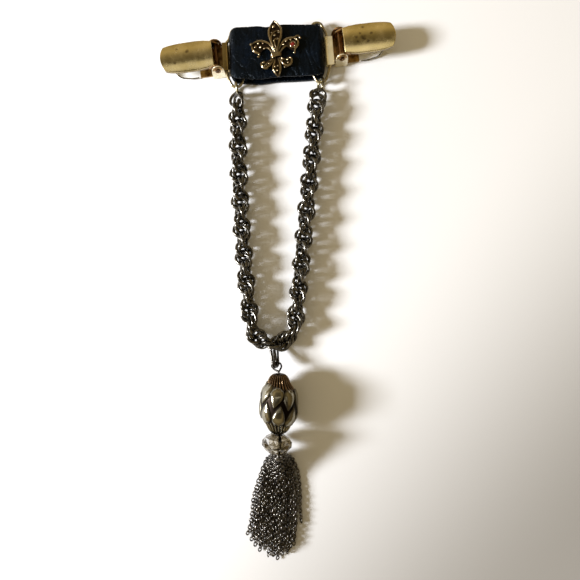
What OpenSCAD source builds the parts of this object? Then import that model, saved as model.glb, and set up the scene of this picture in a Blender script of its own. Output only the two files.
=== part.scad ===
// Sweater clip lying flat, front up. The leather band is at +Y and the tassel at -Y.
// Millimetres, +Z up. The origin is at the middle of the underside of the whole piece.

/* [Leather band] */
// length of the folded strip, from fold to fold
band_length = 42; // [40:0.5:45]
// height of the folded strip
band_height = 6.2; // [5:0.1:7]
// thickness of one layer of leather
leather_wall = 1.7; // [1:0.1:2.2]
// radius of the strip's cut corners
band_corner = 3.8; // [2:0.1:4.5]
// turn of the band as it lies, degrees
band_turn = 2.2; // [-5:0.1:5]

/* [Rings and links] */
// wire radius of the two D-rings
ring_wire = 0.65; // [0.5:0.01:0.7]
// wire radius of the jump links
link_wire = 0.45; // [0.4:0.01:0.5]
// radius of the jump links at the wire's middle
link_radius = 2.7; // [2.6:0.05:2.8]

/* [Clips] */
// thickness of the stamped lower jaw
sheet = 0.7; // [0.5:0.05:0.9]
// radius of the hollow rivet
pin_radius = 0.9; // [0.8:0.01:1.0]
// bore of the lower jaw's ears
ear_bore = 0.92; // [0.9:0.01:1.1]
// bore of the lever's cheeks
lever_bore = 0.95; // [0.9:0.01:1.1]
// height of the rivet's middle above the table
pin_height = 5.0; // [4.5:0.1:5.5]
// radius of the cover's crown
crown_radius = 18.2; // [15:0.1:25]
// top of the cover's crown above the table
cover_top = 8.95; // [8.5:0.05:9.5]
// fall of the cover towards its outer end, degrees
cover_droop = 1.2; // [0:0.1:2]

/* [Chain] */
// wire radius of the chain's rings
chain_wire = 0.39; // [0.35:0.01:0.4]
// height of the chain's middle line
chain_mid = 4.15; // [4.1:0.01:4.3]
// radius of the U's bottom bend
bend_radius = 10.1; // [10:0.1:11]

/* [Pendant] */
// height of the bead's middle line
bead_mid = 8.75; // [8.7:0.01:9]
// radius of the wire through the bead
wire_radius = 0.35; // [0.3:0.01:0.4]
// bore in the bead, the crystal and the tassel's head
wire_bore = 0.42; // [0.4:0.01:0.5]
// lobes in each of the bead's two rows
lobes = 8; // [7:1:9]
// how far the bead's lobes stand out
lobe_rise = 0.85; // [0.5:0.05:1]
// largest radius of the cut crystal
crystal_radius = 6.85; // [6:0.05:7.5]

/* [Hidden] */
shift = [5.2, 0.175];
band_mid = [-5.75, 104.5];
gold = [0.72, 0.58, 0.3];
dark = [0.22, 0.21, 0.21];
ornament_at = [-5.976, 101.85];
ornament_foot = 6.25;
pendant_x = -4.8;
left_ring = [-28.3, 102.9];
right_ring = [16.8, 105.4];
left_pin = [-32.4, 102.4];
right_pin = [22.0, 107.7];
bar_at = -4.15;

// Shared helpers
function mix(a, b, w) = a + w * (b - a);
function clamp01(t) = max(0, min(1, t));
function ease(t) = let(c = clamp01(t)) c * c * (3 - 2 * c);
function flat(v) = [v.x, v.y, 0];
function unit(v) = v / norm(v);
function pick(v, i) = v[max(0, min(len(v) - 1, i))];
function spot(v, t) = let(i = floor(t), f = t - i)
    let(a = pick(v, i - 1), b = pick(v, i), c = pick(v, i + 1), d = pick(v, i + 2))
    0.5 * (2 * b + (c - a) * f + (2 * a - 5 * b + 4 * c - d) * f * f + (3 * b - a - 3 * c + d) * f * f * f);
function curve(v, n) = [for (i = [0:n]) spot(v, i * (len(v) - 1) / n)];

// places a piece in the frame of the whole object
module lay() {
    translate([shift.x, shift.y, 0]) children();
}

// a frame with x outward, y along the bar or rivet and z up
module local(at, turn) {
    translate([at.x, at.y, 0]) rotate([0, 0, turn]) children();
}

// a round rod between two points
module rod(a, b, r, fn = 32) {
    d = b - a;
    translate(a) rotate([0, acos(d.z / norm(d)), atan2(d.y, d.x)]) cylinder(h = norm(d), r = r, $fn = fn);
}

// a wire ring with its middle and its normal
module wire_ring(c, n, big, small, fn = 48) {
    translate(c) rotate([0, acos(n.z / norm(n)), atan2(n.y, n.x)])
        rotate_extrude($fn = fn) translate([big, 0]) circle(r = small, $fn = 20);
}

// quads between rows of points, each row a closed loop, with both ends capped
module skin(rows, closed = false) {
    n = len(rows);
    m = len(rows[0]);
    last = closed ? n - 1 : n - 2;
    sides = [for (i = [0:last]) for (j = [0:m - 1])
        let(k = (j + 1) % m, e = (i + 1) % n, a = i * m + j, b = i * m + k, c = e * m + j, d = e * m + k)
        each [[a, b, d], [a, d, c]]];
    caps = closed ? [] : [[for (j = [m - 1:-1:0]) j], [for (j = [0:m - 1]) (n - 1) * m + j]];
    polyhedron(points = [for (r = rows) each r], faces = concat(sides, caps), convexity = 6);
}

// a round tube along points; up gives the direction that the section starts from
module tube(p, r, up = [0, 0, 1], closed = false, sides = 12) {
    n = len(p);
    skin([for (i = [0:n - 1])
        let(a = closed ? p[(i + n - 1) % n] : pick(p, i - 1), b = closed ? p[(i + 1) % n] : pick(p, i + 1))
        let(t = unit(b - a), s = unit(cross(t, up)), q = cross(s, t))
        [for (k = [0:sides - 1]) p[i] + r * (cos(k * 360 / sides) * s + sin(k * 360 / sides) * q)]], closed);
}

// a raised strand of cast relief, narrow at its ends, standing on z = 0
module strand(v, w, h, n = 10, thin = 0.45) {
    c = curve(v, n);
    skin([for (i = [0:n])
        let(t = unit(pick(c, i + 1) - pick(c, i - 1)), s = [t.y, -t.x])
        let(k = thin + (1 - thin) * pow(sin(180 * (i + 0.6) / (n + 1.2)), 0.7))
        let(a = w * k, b = h * (0.72 + 0.28 * k))
        [for (q = [[-1, 0], [1, 0], [1, 0.45], [0.6, 0.85], [0, 1], [-0.6, 0.85], [-1, 0.45]])
            [c[i].x + s.x * a * q[0], c[i].y + s.y * a * q[0], b * q[1]]]]);
}

// a flat plate bounded by a smooth closed outline
module plate(v, h) {
    w = concat(v, [v[0]]);
    linear_extrude(height = h) polygon([for (i = [0:2 * len(v) - 1]) spot(w, i / 2)]);
}

// Leather band: a strip folded round both rings, open at its long edges
function band_edge(x) = 11.15 + 0.25 * cos(x * 9) - 0.75 * exp(-pow((x + 4.2) / 2.6, 2));
function band_front(x) = -11.45 - 0.75 * exp(-pow((x + 8) / 5, 2)) + 0.3 * ease((x - 8) / 10);
module stadium(h) {
    half = band_length / 2 - band_height / 2;
    rotate([90, 0, 0]) translate([0, 0, -14]) linear_extrude(height = 28) union() {
        translate([-half, band_height / 2]) circle(r = h / 2, $fn = 64);
        translate([half, band_height / 2]) circle(r = h / 2, $fn = 64);
        translate([-half, band_height / 2 - h / 2]) square([2 * half, h]);
    }
}
module leather_band() {
    half = band_length / 2;
    r = band_corner;
    xs = [for (i = [0:20]) mix(0.1 + r - half, half - r - 0.1, i / 20)];
    corner = [for (a = [15:15:75]) a];
    outline = concat(
        [for (x = xs) [x, band_front(x)]],
        [for (a = corner) [half - r + r * sin(a), band_front(half) + r - r * cos(a)]],
        [for (a = corner) [half - r + r * cos(a), band_edge(half) - r + r * sin(a)]],
        [for (i = [20:-1:0]) [xs[i], band_edge(xs[i])]],
        [for (a = corner) [-half + r - r * sin(a), band_edge(-half) - r + r * cos(a)]],
        [for (a = corner) [-half + r - r * cos(a), band_front(-half) + r - r * sin(a)]]);
    color([0.08, 0.09, 0.13]) lay() translate([band_mid.x, band_mid.y, 0]) rotate([0, 0, band_turn])
        intersection() {
            difference() {
                stadium(band_height);
                stadium(band_height - 2 * leather_wall);
            }
            linear_extrude(height = band_height + 1) polygon(outline);
        }
}

// Fleur-de-lis: thin plates with raised rims, curls, balls, the collar and the stone's bezel
petal_left = [[-1, 14.9], [-2.4, 12.5], [-3.2, 10], [-2.9, 7.7], [-2.1, 5.4], [-1.2, 3.1], [-0.4, 1.2]];
petal_right = [[-1, 14.9], [0.7, 13.3], [1.9, 11.4], [2.1, 9.4], [1.8, 7.1], [1.1, 4.6], [0.6, 1.2]];
inner_left = [[0.7, 10.7], [-0.9, 9.8], [-1.9, 8.5], [-2.2, 6.5], [-1.6, 4.4], [-0.8, 2.3], [-0.3, 1]];
inner_right = [[0.7, 10.7], [1.7, 9.8], [1.9, 8.1], [1.3, 6.2], [0.8, 4], [0.5, 1.2]];
heart_left = [[0.5, 7.3], [-0.6, 6.5], [-0.6, 4.6], [0, 2.7], [0.1, 1]];
heart_right = [[0.5, 7.3], [1.3, 6.5], [1.1, 4.6], [0.6, 2.7], [0.3, 1]];
arm_left = [[-0.9, 1.2], [-1.6, 2.9], [-2.8, 4.5], [-5.1, 5.6], [-7, 5.9], [-9, 5.5], [-10.9, 4.4]];
arm_left_inner = [[-1, 0.3], [-1.8, 1.2], [-2.8, 2.3], [-3.9, 3], [-5.1, 2.8]];
curl_left = [[-10.6, 3.9], [-10.3, 2.5], [-9.3, 1.3], [-8.2, 0.7], [-7.3, 0.2], [-7.6, -0.9]];
arm_right = [[0.8, 1.2], [1.4, 3.1], [2.5, 5], [3.9, 6.5], [5.9, 7.2], [7.8, 7.5], [9.6, 8.3], [10.5, 7]];
arm_right_inner = [[1.3, 0.4], [2.2, 1.9], [3.2, 3.1], [4.2, 3.8], [5.1, 3.6]];
curl_right = [[7.8, 7.3], [9, 6.5], [9.5, 5.2], [9.1, 3.8], [8.2, 2.5], [8, 1.1]];
low_left = [[-1, -1.2], [-1.6, -2.9], [-3.2, -4.8], [-4.7, -5.9], [-6.1, -4.8], [-6.5, -3.7], [-5.5, -2.9]];
low_left_leaf = [[-1.3, -1], [-2.2, -2.3], [-3.5, -3]];
low_right = [[1.3, -1], [2.2, -2.7], [3.4, -4], [5.1, -4.6], [6.4, -3.7], [6.7, -2.1], [6, -1],
    [4.9, -1.3]];
low_right_leaf = [[1.8, -0.8], [3, -1.7], [4.2, -2]];
low_right_tip = [[3.2, -4.2], [3.8, -5.1], [4.9, -5.2]];
foot_left = [[-0.3, -1.2], [-0.8, -3.5], [-1.3, -5.8], [-0.6, -7.5], [0.8, -9.3]];
foot_right = [[0.7, -1.2], [1.5, -3.3], [1.9, -5.8], [1.6, -7.7], [1, -9.3]];
stone_at = [7.2, 4.4];
balls = [[-10.9, 4.4, 0.55], [-7.7, 4.8, 0.5], [-5.7, 5, 0.45], [-6.8, 3.2, 0.6], [-5.1, 2.7, 0.5],
    [-1.1, 12.2, 0.75], [-0.6, 8.5, 0.6], [-5.3, -3.3, 0.65], [-4.1, -4, 0.5], [4.9, -1.9, 0.6],
    [-0.4, -5.2, 0.6], [0.8, -4.8, 0.5], [4.5, 6.2, 0.55], [6.3, 6.7, 0.5], [10.4, 7.3, 0.5]];
function back(v) = [for (i = [len(v) - 1:-1:0]) v[i]];
module relief(at = ornament_foot) {
    lay() translate([ornament_at.x, ornament_at.y, at]) children();
}
// outline, half width, height, stations, thinness at the ends
strands = [[petal_left, 0.5, 1.7, 11, 0.45], [petal_right, 0.5, 1.66, 11, 0.45],
    [inner_left, 0.36, 1.75, 10, 0.45],
    [inner_right, 0.36, 1.72, 9, 0.45], [heart_left, 0.34, 1.92, 7, 0.45],
    [heart_right, 0.34, 1.9, 7, 0.45],
    [arm_left, 0.5, 1.7, 11, 0.6], [arm_right, 0.5, 1.68, 13, 0.6], [arm_left_inner, 0.42, 1.55, 7, 0.45],
    [arm_right_inner, 0.42, 1.52, 7, 0.45], [curl_left, 0.55, 1.8, 9, 0.45],
    [curl_right, 0.55, 1.77, 9, 0.45],
    [low_left, 0.5, 1.65, 11, 0.6], [low_right, 0.5, 1.62, 12, 0.6], [low_left_leaf, 0.45, 1.5, 5, 0.45],
    [low_right_leaf, 0.45, 1.47, 5, 0.45], [low_right_tip, 0.45, 1.44, 5, 0.45],
    [foot_left, 0.5, 1.6, 8, 0.45],
    [foot_right, 0.5, 1.58, 8, 0.45]];
module ornament_plates() {
    plate(concat(petal_left, back(petal_right)), 0.8);
    plate(concat(arm_left, [for (i = [1:4]) curl_left[i]], [[-6.4, 1.7]], back(arm_left_inner)), 0.75);
    plate(concat([for (i = [0:5]) arm_right[i]], [for (i = [1:4]) curl_right[i]], [[6.8, 2.5]],
        back(arm_right_inner)), 0.75);
    plate(low_left, 0.8);
    plate(low_right, 0.8);
    plate(concat(foot_left, back(foot_right)), 0.8);
    translate([-1.5, -1.6, 0]) cube([3.2, 3.4, 0.9]);
}
module fleur_ornament() {
    color(gold) relief() difference() {
        union() {
            ornament_plates();
            for (i = [0:len(strands) - 1]) let(e = strands[i])
                translate([0, 0, 0.04 + 0.011 * i]) strand(e[0], e[1], e[2], e[3], e[4]);
            for (b = balls) translate([b.x, b.y, 0.35]) cylinder(r1 = b.z, r2 = b.z * 0.5, h = 1.3, $fn = 10);
            rotate([0, 0, 14]) strand([[-2.3, 0], [-0.8, 0], [0.8, 0], [2.3, 0]], 0.95, 2.2, 8, 0.8);
            translate([stone_at.x, stone_at.y, 0]) cylinder(r = 1.5, h = 1.75, $fn = 24);
        }
        translate([stone_at.x, stone_at.y, 0.5]) cylinder(r = 1.05, h = 2, $fn = 24);
    }
}

// Red stone: a small cut stone in the bezel
module red_stone() {
    color([0.6, 0.05, 0.05]) relief(ornament_foot + 0.55) translate([stone_at.x, stone_at.y, 0]) hull() {
        cylinder(r1 = 0.5, r2 = 0.99, h = 0.85, $fn = 8);
        translate([0, 0, 0.85]) rotate([0, 0, 22.5]) cylinder(r1 = 0.99, r2 = 0.99, h = 0.12, $fn = 8);
        translate([0, 0, 0.97]) cylinder(r1 = 0.97, r2 = 0.6, h = 0.42, $fn = 8);
    }
}

// D-rings: round wire with a straight outer bar and rounded ends
ring_corner = concat([[0, 0], [0, 3.8], [0, 7]],
    [for (a = [6:12:30]) [-2 + 2 * cos(a * 0.7), 7.25 + 2 * sin(a * 0.7)]],
    [[-0.85, 9.75]], [for (a = [22:17:90]) [-4 + 2.6 * cos(a), 10.6 + 2.6 * sin(a)]]);
ring_half = concat(ring_corner,
    [for (i = [len(ring_corner) - 1:-1:0]) [-8 - ring_corner[i].x, ring_corner[i].y]]);
ring_loop = concat(ring_half, [for (i = [len(ring_half) - 2:-1:1]) [ring_half[i].x, -ring_half[i].y]]);
module d_ring(at, turn) {
    color(gold) lay() local(at, turn) tube([for (q = ring_loop) [q.x, q.y, 3.1]], ring_wire, [0, 0, 1], true);
}
module ring_left() {
    d_ring(left_ring, 183);
}
module ring_right() {
    d_ring(right_ring, 5);
}

// Jump links between the rings and the chain
module link_left() {
    color(gold) lay() wire_ring([-23.57, 88.86, 3.38], [0.976, 0.181, -0.122], link_radius, link_wire, 64);
}
module link_right() {
    color(gold) lay() wire_ring([13.56, 90.76, 3.26], [0.934, -0.083, -0.348], link_radius, link_wire, 64);
}

// Chain: a twisted chain in which every ring goes through the three rings before it
bend_mid = [-7.531, -13.873];
left_heading = 83.8;
right_heading = 84.6;
left_turn = 6.1;
left_leg = 100.9;
right_leg = 102.5;
bend_start = -left_heading - 90;
bend_sweep = left_heading + right_heading;
bend_length = bend_radius * bend_sweep * PI / 180;
chain_length = left_leg + bend_length + right_leg;
function around(a) = [cos(a), sin(a)];
function route(s) = s < left_leg
    ? let(q = left_leg - s, k = left_turn / left_leg, h = -left_heading, g = 180 / (PI * k))
        concat(bend_mid + bend_radius * around(bend_start)
            - g * [sin(h) - sin(h - k * q), cos(h - k * q) - cos(h)], [h - k * q])
    : s < left_leg + bend_length
    ? let(a = bend_start + (s - left_leg) / bend_radius * 180 / PI)
        concat(bend_mid + bend_radius * around(a), [a + 90])
    : let(a = bend_start + bend_sweep, h = a + 90)
        concat(bend_mid + bend_radius * around(a) + (s - left_leg - bend_length) * around(h), [h]);
// pitch, net turn, offset, tilt, lean, ring radius, inward shift: on the legs and in the bend
on_leg = [1.75, 26.6, 0.55, 75, 105.5, 3.2, 0];
in_bend = [1.92, 27.5, 0.34, 88.7, 90, 3.4, -0.28];
function ring_values(s) = mix(on_leg, in_bend, ease((38.2 - abs(s - left_leg - bend_length / 2)) / 21.9));
function rings_from(s, f) = s > chain_length ? []
    : concat([[s, f]], rings_from(s + ring_values(s)[0], f + 180 + ring_values(s)[1]));
module chain() {
    color(dark) lay() for (e = rings_from(1.5, 12)) {
        s = e[0];
        f = e[1];
        v = ring_values(s);
        p = route(s);
        t = [cos(p[2]), sin(p[2]), 0];
        n = [t.y, -t.x, 0];
        c = [p.x, p.y, chain_mid] + n * (v[2] * cos(f) + v[6]) - [0, 0, v[2] * sin(f)];
        face = n * sin(v[3]) * cos(v[4] + f) - [0, 0, sin(v[3]) * sin(v[4] + f)] + t * cos(v[3]);
        wire_ring(c, face, v[5], chain_wire);
    }
}

// Bail: two long wire loops through the chain's lowest rings, joined at their lower ends
// foot x, top x, top y, half height, height at the top, roll, height at the foot
bail_foot = -33.55;
bail_front = [-6.457, -8.26, -22.56, 1.77, 4.1, -23.5, 6.33];
bail_rear = [-5.874, -6.54, -23.63, 1.31, 1.9, -39, 5.57];
function bail_point(b, x, y) = let(f = (y - bail_foot) / (b[2] - bail_foot))
    [mix(b[0], b[1], f) + x * sin(b[5]), y, mix(b[6], b[4], f) + x * cos(b[5])];
function bail_loop(b) = let(r = b[3], top = b[2] - r, low = bail_foot + r) concat(
    [for (a = [0:20:180]) bail_point(b, r * cos(a), top + r * sin(a))],
    [for (i = [1:2]) bail_point(b, -r, mix(top, low, i / 3))],
    [for (a = [180:20:360]) bail_point(b, r * cos(a), low + r * sin(a))],
    [for (i = [1:2]) bail_point(b, r, mix(low, top, i / 3))]);
module bail() {
    color(dark) lay() union() {
        tube(bail_loop(bail_front), 0.43, [1, 0, 0], true, 10);
        tube(bail_loop(bail_rear), 0.37, [1, 0, 0], true, 10);
    }
}

// Bead wire: a heart-shaped eye through the bail, then a straight shank
eye = [[-4.65, -35.1, 8.35], [-5.85, -34.85, 7.45], [-7.4, -34.1, 6.4], [-7.95, -32.9, 5.7],
    [-7.5, -32.1, 5.2],
    [-6.75, -32, 5.15], [-6, -31.75, 5.3], [-5.2, -31.8, 5.4], [-4.2, -32.2, 5.8],
    [-3.75, -33.3, 6.9], [-4.35, -34.5, 8.2],
    [-4.8, -35.3, 8.75]];
module bead_wire() {
    shank = [for (y = [-36.6, -48, -60, -73.2]) [pendant_x, y, bead_mid]];
    color(dark) lay() tube(concat(curve(eye, 34), shank), wire_radius, [0.3, 0, 1], false, 10);
}

// Bead: a turned body with two rows of raised teardrops and fluted ends
module along(s) {
    lay() translate([pendant_x, -s, bead_mid]) rotate([90, 0, 0]) children();
}
body = [[0, 1.1], [0.5, 2.6], [1.4, 3.7], [2.7, 4.45], [4, 4.8], [4.9, 5.3], [6.4, 6.45], [8.4, 7.2],
    [10.6, 7.6],
    [12.8, 7.8], [15, 7.85], [17.2, 7.65], [19, 7.15], [20.4, 6.35], [21.4, 5.6], [22.4, 5.1],
    [23.7, 4.5], [24.9, 3.5],
    [25.8, 2.2]];
// start, end, angle at the start, swirl, half width, and true where the round end comes first
lobe_rows = [[5.1, 13.6, 88, 17, 2.7, true], [12, 21, 82, 12, 2.6, false]];
// the rows lie on a slant, lower on the right
function slant(q, s) = s - 1.6 * cos(q) * ease(s / 4) * ease((25 - s) / 4);
function drop_width(t) = t < 0.3 ? sqrt(1 - pow(1 - t / 0.3, 2)) : 1 - pow((t - 0.3) / 0.7, 1.6);
function wrap(a) = a - 360 / lobes * round(a * lobes / 360);
function lobe_height(q, s, e) = let(u = (slant(q, s) - e[0]) / (e[1] - e[0])) u <= 0 || u >= 1 ? 0
    : let(w = drop_width(e[5] ? u : 1 - u), d = abs(wrap(q - e[2] - e[3] * u)) * lookup(s, body) * PI / 180)
        d >= e[4] * w ? 0 : lobe_rise * sqrt(1 - pow(d / e[4] / w, 2)) * (0.55 + 0.45 * w);
function rib_height(q, s) = 0.2 * cos(20 * q) * ease(s / 0.8) * ease((25.8 - s) / 0.8)
    * (1 - ease((s - 3.8) / 1.2) * ease((22.2 - s) / 0.9));
function bead_radius(q, s) = lookup(s, body) + rib_height(q, s)
    + max([for (e = lobe_rows) lobe_height(q, s, e)]);
module bead() {
    slices = 36;
    around = 80;
    color([0.3, 0.29, 0.27]) along(35.7) difference() {
        skin([for (i = [0:slices]) let(s = 25.8 * i / slices)
            [for (j = [around - 1:-1:0]) let(q = j * 360 / around, r = bead_radius(q, s))
                [r * cos(q), r * sin(q), s]]]);
        translate([0, 0, -1]) cylinder(r = wire_bore, h = 28, $fn = 32);
    }
}

// Crystal: a clear faceted bead below the large one
module crystal_bead() {
    color([0.75, 0.73, 0.68]) along(61.9) difference() {
        hull() {
            cylinder(r = 3.3, h = 0.05, $fn = 10);
            translate([0, 0, 2.4]) rotate([0, 0, 18]) cylinder(r = 6.1, h = 0.05, $fn = 10);
            translate([0, 0, 4.1]) cylinder(r = crystal_radius, h = 0.3, $fn = 10);
            translate([0, 0, 6.1]) rotate([0, 0, 18]) cylinder(r = 6.1, h = 0.05, $fn = 10);
            translate([0, 0, 8.5]) cylinder(r = 3.3, h = 0.05, $fn = 10);
        }
        translate([0, 0, -1]) cylinder(r = wire_bore, h = 11, $fn = 32);
    }
}

// Tassel: locks of fine chain fused to a head on the wire; they sink to the table
// end x, end y, start angle on the head, bulge, end height
low_locks = [[-18.6, -108.6, 196, -3.4, 1.5], [-16.4, -112.4, 216, -2.2, 1.5],
    [-12.9, -116.4, 238, -1.2, 1.5],
    [-9.4, -117.2, 256, -0.5, 1.5], [-5.6, -119.2, 274, 0.2, 1.5], [-1.8, -118.4, 292, 0.7, 1.5],
    [1.2, -115.6, 318, 1.2, 1.5], [3.9, -111.8, 344, 1.9, 1.5]];
high_locks = [[-15.6, -104.8, 164, -2, 3.9], [-11.5, -110.4, 136, -1.2, 4], [-7.4, -112.9, 108, -0.4, 4.1],
    [-2.9, -112.4, 76, 0.5, 4], [0.8, -107.2, 42, 1.2, 3.9], [2.9, -101, 14, 1.6, 3.7]];
module lock(e) {
    n = 10;
    a = [pendant_x + 3.3 * cos(e[2]), -71.6, bead_mid - 0.2 + 3 * sin(e[2])];
    skin([for (i = [0:n])
        let(t = i / n, k = ease(t * 2.2), drop = pow(1 - t, 1.7))
        let(x = mix(a.x, e[0], t) + e[3] * sin(180 * t) * 0.8, y = mix(a.y, e[1], t))
        let(w = 1.9 - 0.5 * t - 0.5 * pow(t, 6), h = mix(1.7, 1.48, t) - 0.6 * pow(t, 8))
        let(z = mix(max(e[4], h + 0.02), a.z, drop), m = max(z, h + 0.02))
        [for (q = [0:7]) [x - w * cos(45 * q), y, m + h * sin(45 * q)]]]);
}
module tassel() {
    color(dark) difference() {
        union() {
            lay() for (e = concat(low_locks, high_locks)) lock(e);
            along(70.75) cylinder(r1 = 3.6, r2 = 4.9, h = 3, $fn = 32);
        }
        along(70) cylinder(r = wire_bore, h = 3.4, $fn = 32);
    }
}

// Lower jaw: flat sheet with a lip, a tab rolled round the D-ring's bar and two ears
jaw_half = [[-4.6, 6], [3, 6.1], [10, 6.1], [14, 5.7], [16.7, 5.2], [18.2, 4.2], [19.3, 2.5], [19.8, 0]];
module mirrored_outline(v) {
    polygon(concat(v, [for (i = [len(v) - 1:-1:0]) [v[i].x, -v[i].y]]));
}
module jaw_section() {
    rotate([90, 0, 0]) translate([0, 0, -7]) linear_extrude(height = 14) union() {
        translate([-6, 0]) square([20.01, sheet]);
        intersection() {
            translate([14, 9.06]) difference() {
                circle(r = 9.06, $fn = 128);
                circle(r = 9.06 - sheet, $fn = 128);
            }
            translate([14, 0]) square([6, 4]);
        }
    }
}
module clip_base(pin, turn, bar, bar_turn) {
    color(gold) lay() union() {
        difference() {
            local(pin, turn) intersection() {
                jaw_section();
                linear_extrude(height = 8) mirrored_outline(jaw_half);
            }
            local(bar, bar_turn) translate([-8, -9, -1]) cube([8.8, 18, 6]);
        }
        local(bar, bar_turn) difference() {
            union() {
                rod([0, -5.7, 3.1], [0, 5.7, 3.1], 1.21);
                translate([0.71, -5.7, 0]) cube([0.5, 11.4, 3.1]);
            }
            rod([0, -6, 3.1], [0, 6, 3.1], 0.71);
        }
        local(pin, turn) for (s = [-1, 1]) difference() {
            union() {
                rod([0, s * 5.85, pin_height], [0, s * 6.4, pin_height], 2.3, 48);
                translate([-2.3, s > 0 ? 5.85 : -6.4, 0]) cube([4.6, 0.55, pin_height]);
            }
            rod([0, s * 5.5, pin_height], [0, s * 7, pin_height], ear_bore);
        }
    }
}
module clip_base_left() {
    clip_base(left_pin, 187.5, left_ring, 183);
}
module clip_base_right() {
    clip_base(right_pin, 7.5, right_ring, 5);
}

// Rivet: hollow, with a thin head at each end
module clip_pin(pin, turn) {
    color(gold) lay() local(pin, turn) difference() {
        union() {
            rod([0, -6.85, pin_height], [0, 6.85, pin_height], pin_radius);
            for (s = [-1, 1]) rod([0, s * 6.45, pin_height], [0, s * 6.85, pin_height], 1.2);
        }
        rod([0, -8, pin_height], [0, 8, pin_height], 0.45);
    }
}
module clip_pin_left() {
    clip_pin(left_pin, 187.5);
}
module clip_pin_right() {
    clip_pin(right_pin, 7.5);
}

// Lever: crowned cover with side skirts, two cheeks on the rivet and the toothed upper jaw
cover_half = [[1.2, 5.3], [3.3, 5.7], [4, 5.95], [8, 6.3], [14, 6.25], [19, 5.95], [22, 4.95],
    [23.3, 3.4], [23.7, 0]];
cover_in = [[1.2, 4.75], [3.3, 5.15], [4, 5.4], [8, 5.75], [14, 5.7], [19, 5.4], [21.8, 4.5],
    [22.8, 3.1], [23.1, 0]];
module crown(r, low) {
    intersection() {
        rod([-1, 0, cover_top - crown_radius], [26, 0, cover_top - crown_radius], r, 192);
        translate([-1, -8, low]) cube([27, 16, 6]);
    }
}
module cover() {
    intersection() {
        difference() {
            crown(crown_radius, 6.2);
            crown(crown_radius - sheet, 6.0);
        }
        linear_extrude(height = 12) mirrored_outline(cover_half);
    }
    intersection() {
        difference() {
            crown(crown_radius - 0.1, 6.75);
            linear_extrude(height = 12) mirrored_outline(cover_in);
        }
        linear_extrude(height = 12) mirrored_outline(cover_half);
        translate([3.3, -8, 0]) cube([22, 16, 12]);
    }
    translate([1.2, 0, cover_top - crown_radius]) rotate([0, 90, 0]) rotate([0, 0, 180 - 16.5])
        rotate_extrude(angle = 33, $fn = 192) translate([crown_radius - 0.5, 0]) circle(r = 0.48, $fn = 32);
}
module clip_lever(pin, turn) {
    color(gold) lay() local(pin, turn) union() {
        translate([0, 0, pin_height]) rotate([0, cover_droop, 0]) translate([0, 0, -pin_height]) cover();
        for (s = [-1, 1]) difference() {
            union() {
                rod([0, s * 4.7, pin_height], [0, s * 5.4, pin_height], 1.9, 48);
                translate([0, s > 0 ? 5.4 : -4.7, 0]) rotate([90, 0, 0]) linear_extrude(height = 0.7)
                    polygon([[-1.2, 6.4], [1.15, 7.9], [5.8, 7.9], [5.2, 6.9], [1.7, 4.2], [0, 5]]);
            }
            rod([0, s * 4, pin_height], [0, s * 6, pin_height], lever_bore);
        }
        difference() {
            translate([1.7, -4.4, 1.15]) cube([0.65, 8.8, 7]);
            for (i = [-3:3]) translate([1, i * 1.25, 1.15]) rotate([0, 90, 0]) rotate([0, 0, 45])
                translate([-0.42, -0.42, 0]) cube([0.84, 0.84, 3]);
        }
    }
}
module clip_lever_left() {
    clip_lever(left_pin, 187.5);
}
module clip_lever_right() {
    clip_lever(right_pin, 7.5);
}

leather_band();
fleur_ornament();
red_stone();
ring_left();
ring_right();
link_left();
link_right();
chain();
bail();
bead_wire();
bead();
crystal_bead();
tassel();
clip_base_left();
clip_base_right();
clip_pin_left();
clip_pin_right();
clip_lever_left();
clip_lever_right();
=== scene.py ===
import math
import random

import bmesh
import bpy
from mathutils import Matrix, Vector, noise


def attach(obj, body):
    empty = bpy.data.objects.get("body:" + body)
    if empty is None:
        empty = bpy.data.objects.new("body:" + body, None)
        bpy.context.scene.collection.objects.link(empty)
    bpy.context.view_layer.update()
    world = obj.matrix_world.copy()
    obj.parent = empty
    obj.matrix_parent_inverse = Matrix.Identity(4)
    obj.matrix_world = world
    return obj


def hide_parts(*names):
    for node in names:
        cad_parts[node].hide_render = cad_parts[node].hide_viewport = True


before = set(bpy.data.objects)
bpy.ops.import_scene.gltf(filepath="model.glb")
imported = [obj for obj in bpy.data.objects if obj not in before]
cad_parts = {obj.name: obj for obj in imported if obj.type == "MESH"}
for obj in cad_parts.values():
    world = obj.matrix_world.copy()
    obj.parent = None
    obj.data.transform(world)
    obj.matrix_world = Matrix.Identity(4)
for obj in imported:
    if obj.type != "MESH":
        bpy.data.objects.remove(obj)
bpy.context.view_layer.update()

# The sheet of paper that the clip lies on, the camera straight above it and the light. The camera is
# 195 mm above the paper, so the taller pieces lean outward as in the photograph. A key light low on
# the left throws the shadows to the right, and a warm room fills them.
MM = 0.001
MIDDLE_X, MIDDLE_Y = 5.2, 0.175
CAMERA_HEIGHT = 195
PAPER_HALF, PAPER_Z = 2.0, -0.00014


def spot(x, y, z=0.0):
    """A place in millimetres from the photograph's middle, in the part's frame."""
    return Vector(((x + MIDDLE_X) * MM, (y + MIDDLE_Y) * MM, z * MM))


def add_object(name, data):
    obj = bpy.data.objects.new(name, data)
    bpy.context.scene.collection.objects.link(obj)
    return obj


camera = add_object("camera", bpy.data.cameras.new("camera"))
camera.location = spot(0, 0, CAMERA_HEIGHT)
camera.data.sensor_width = 36
camera.data.lens = 26.9
camera.data.clip_start = 0.01
bpy.context.scene.camera = camera


def finish_mesh(name, bm, smooth=True, angle=None):
    """Makes the piece of that name from a bmesh."""
    mesh = bpy.data.meshes.new(name)
    bm.to_mesh(mesh)
    bm.free()
    for face in mesh.polygons:
        face.use_smooth = smooth
    if angle:
        mesh.set_sharp_from_angle(angle=math.radians(angle))
    return add_object(name, mesh)


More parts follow.
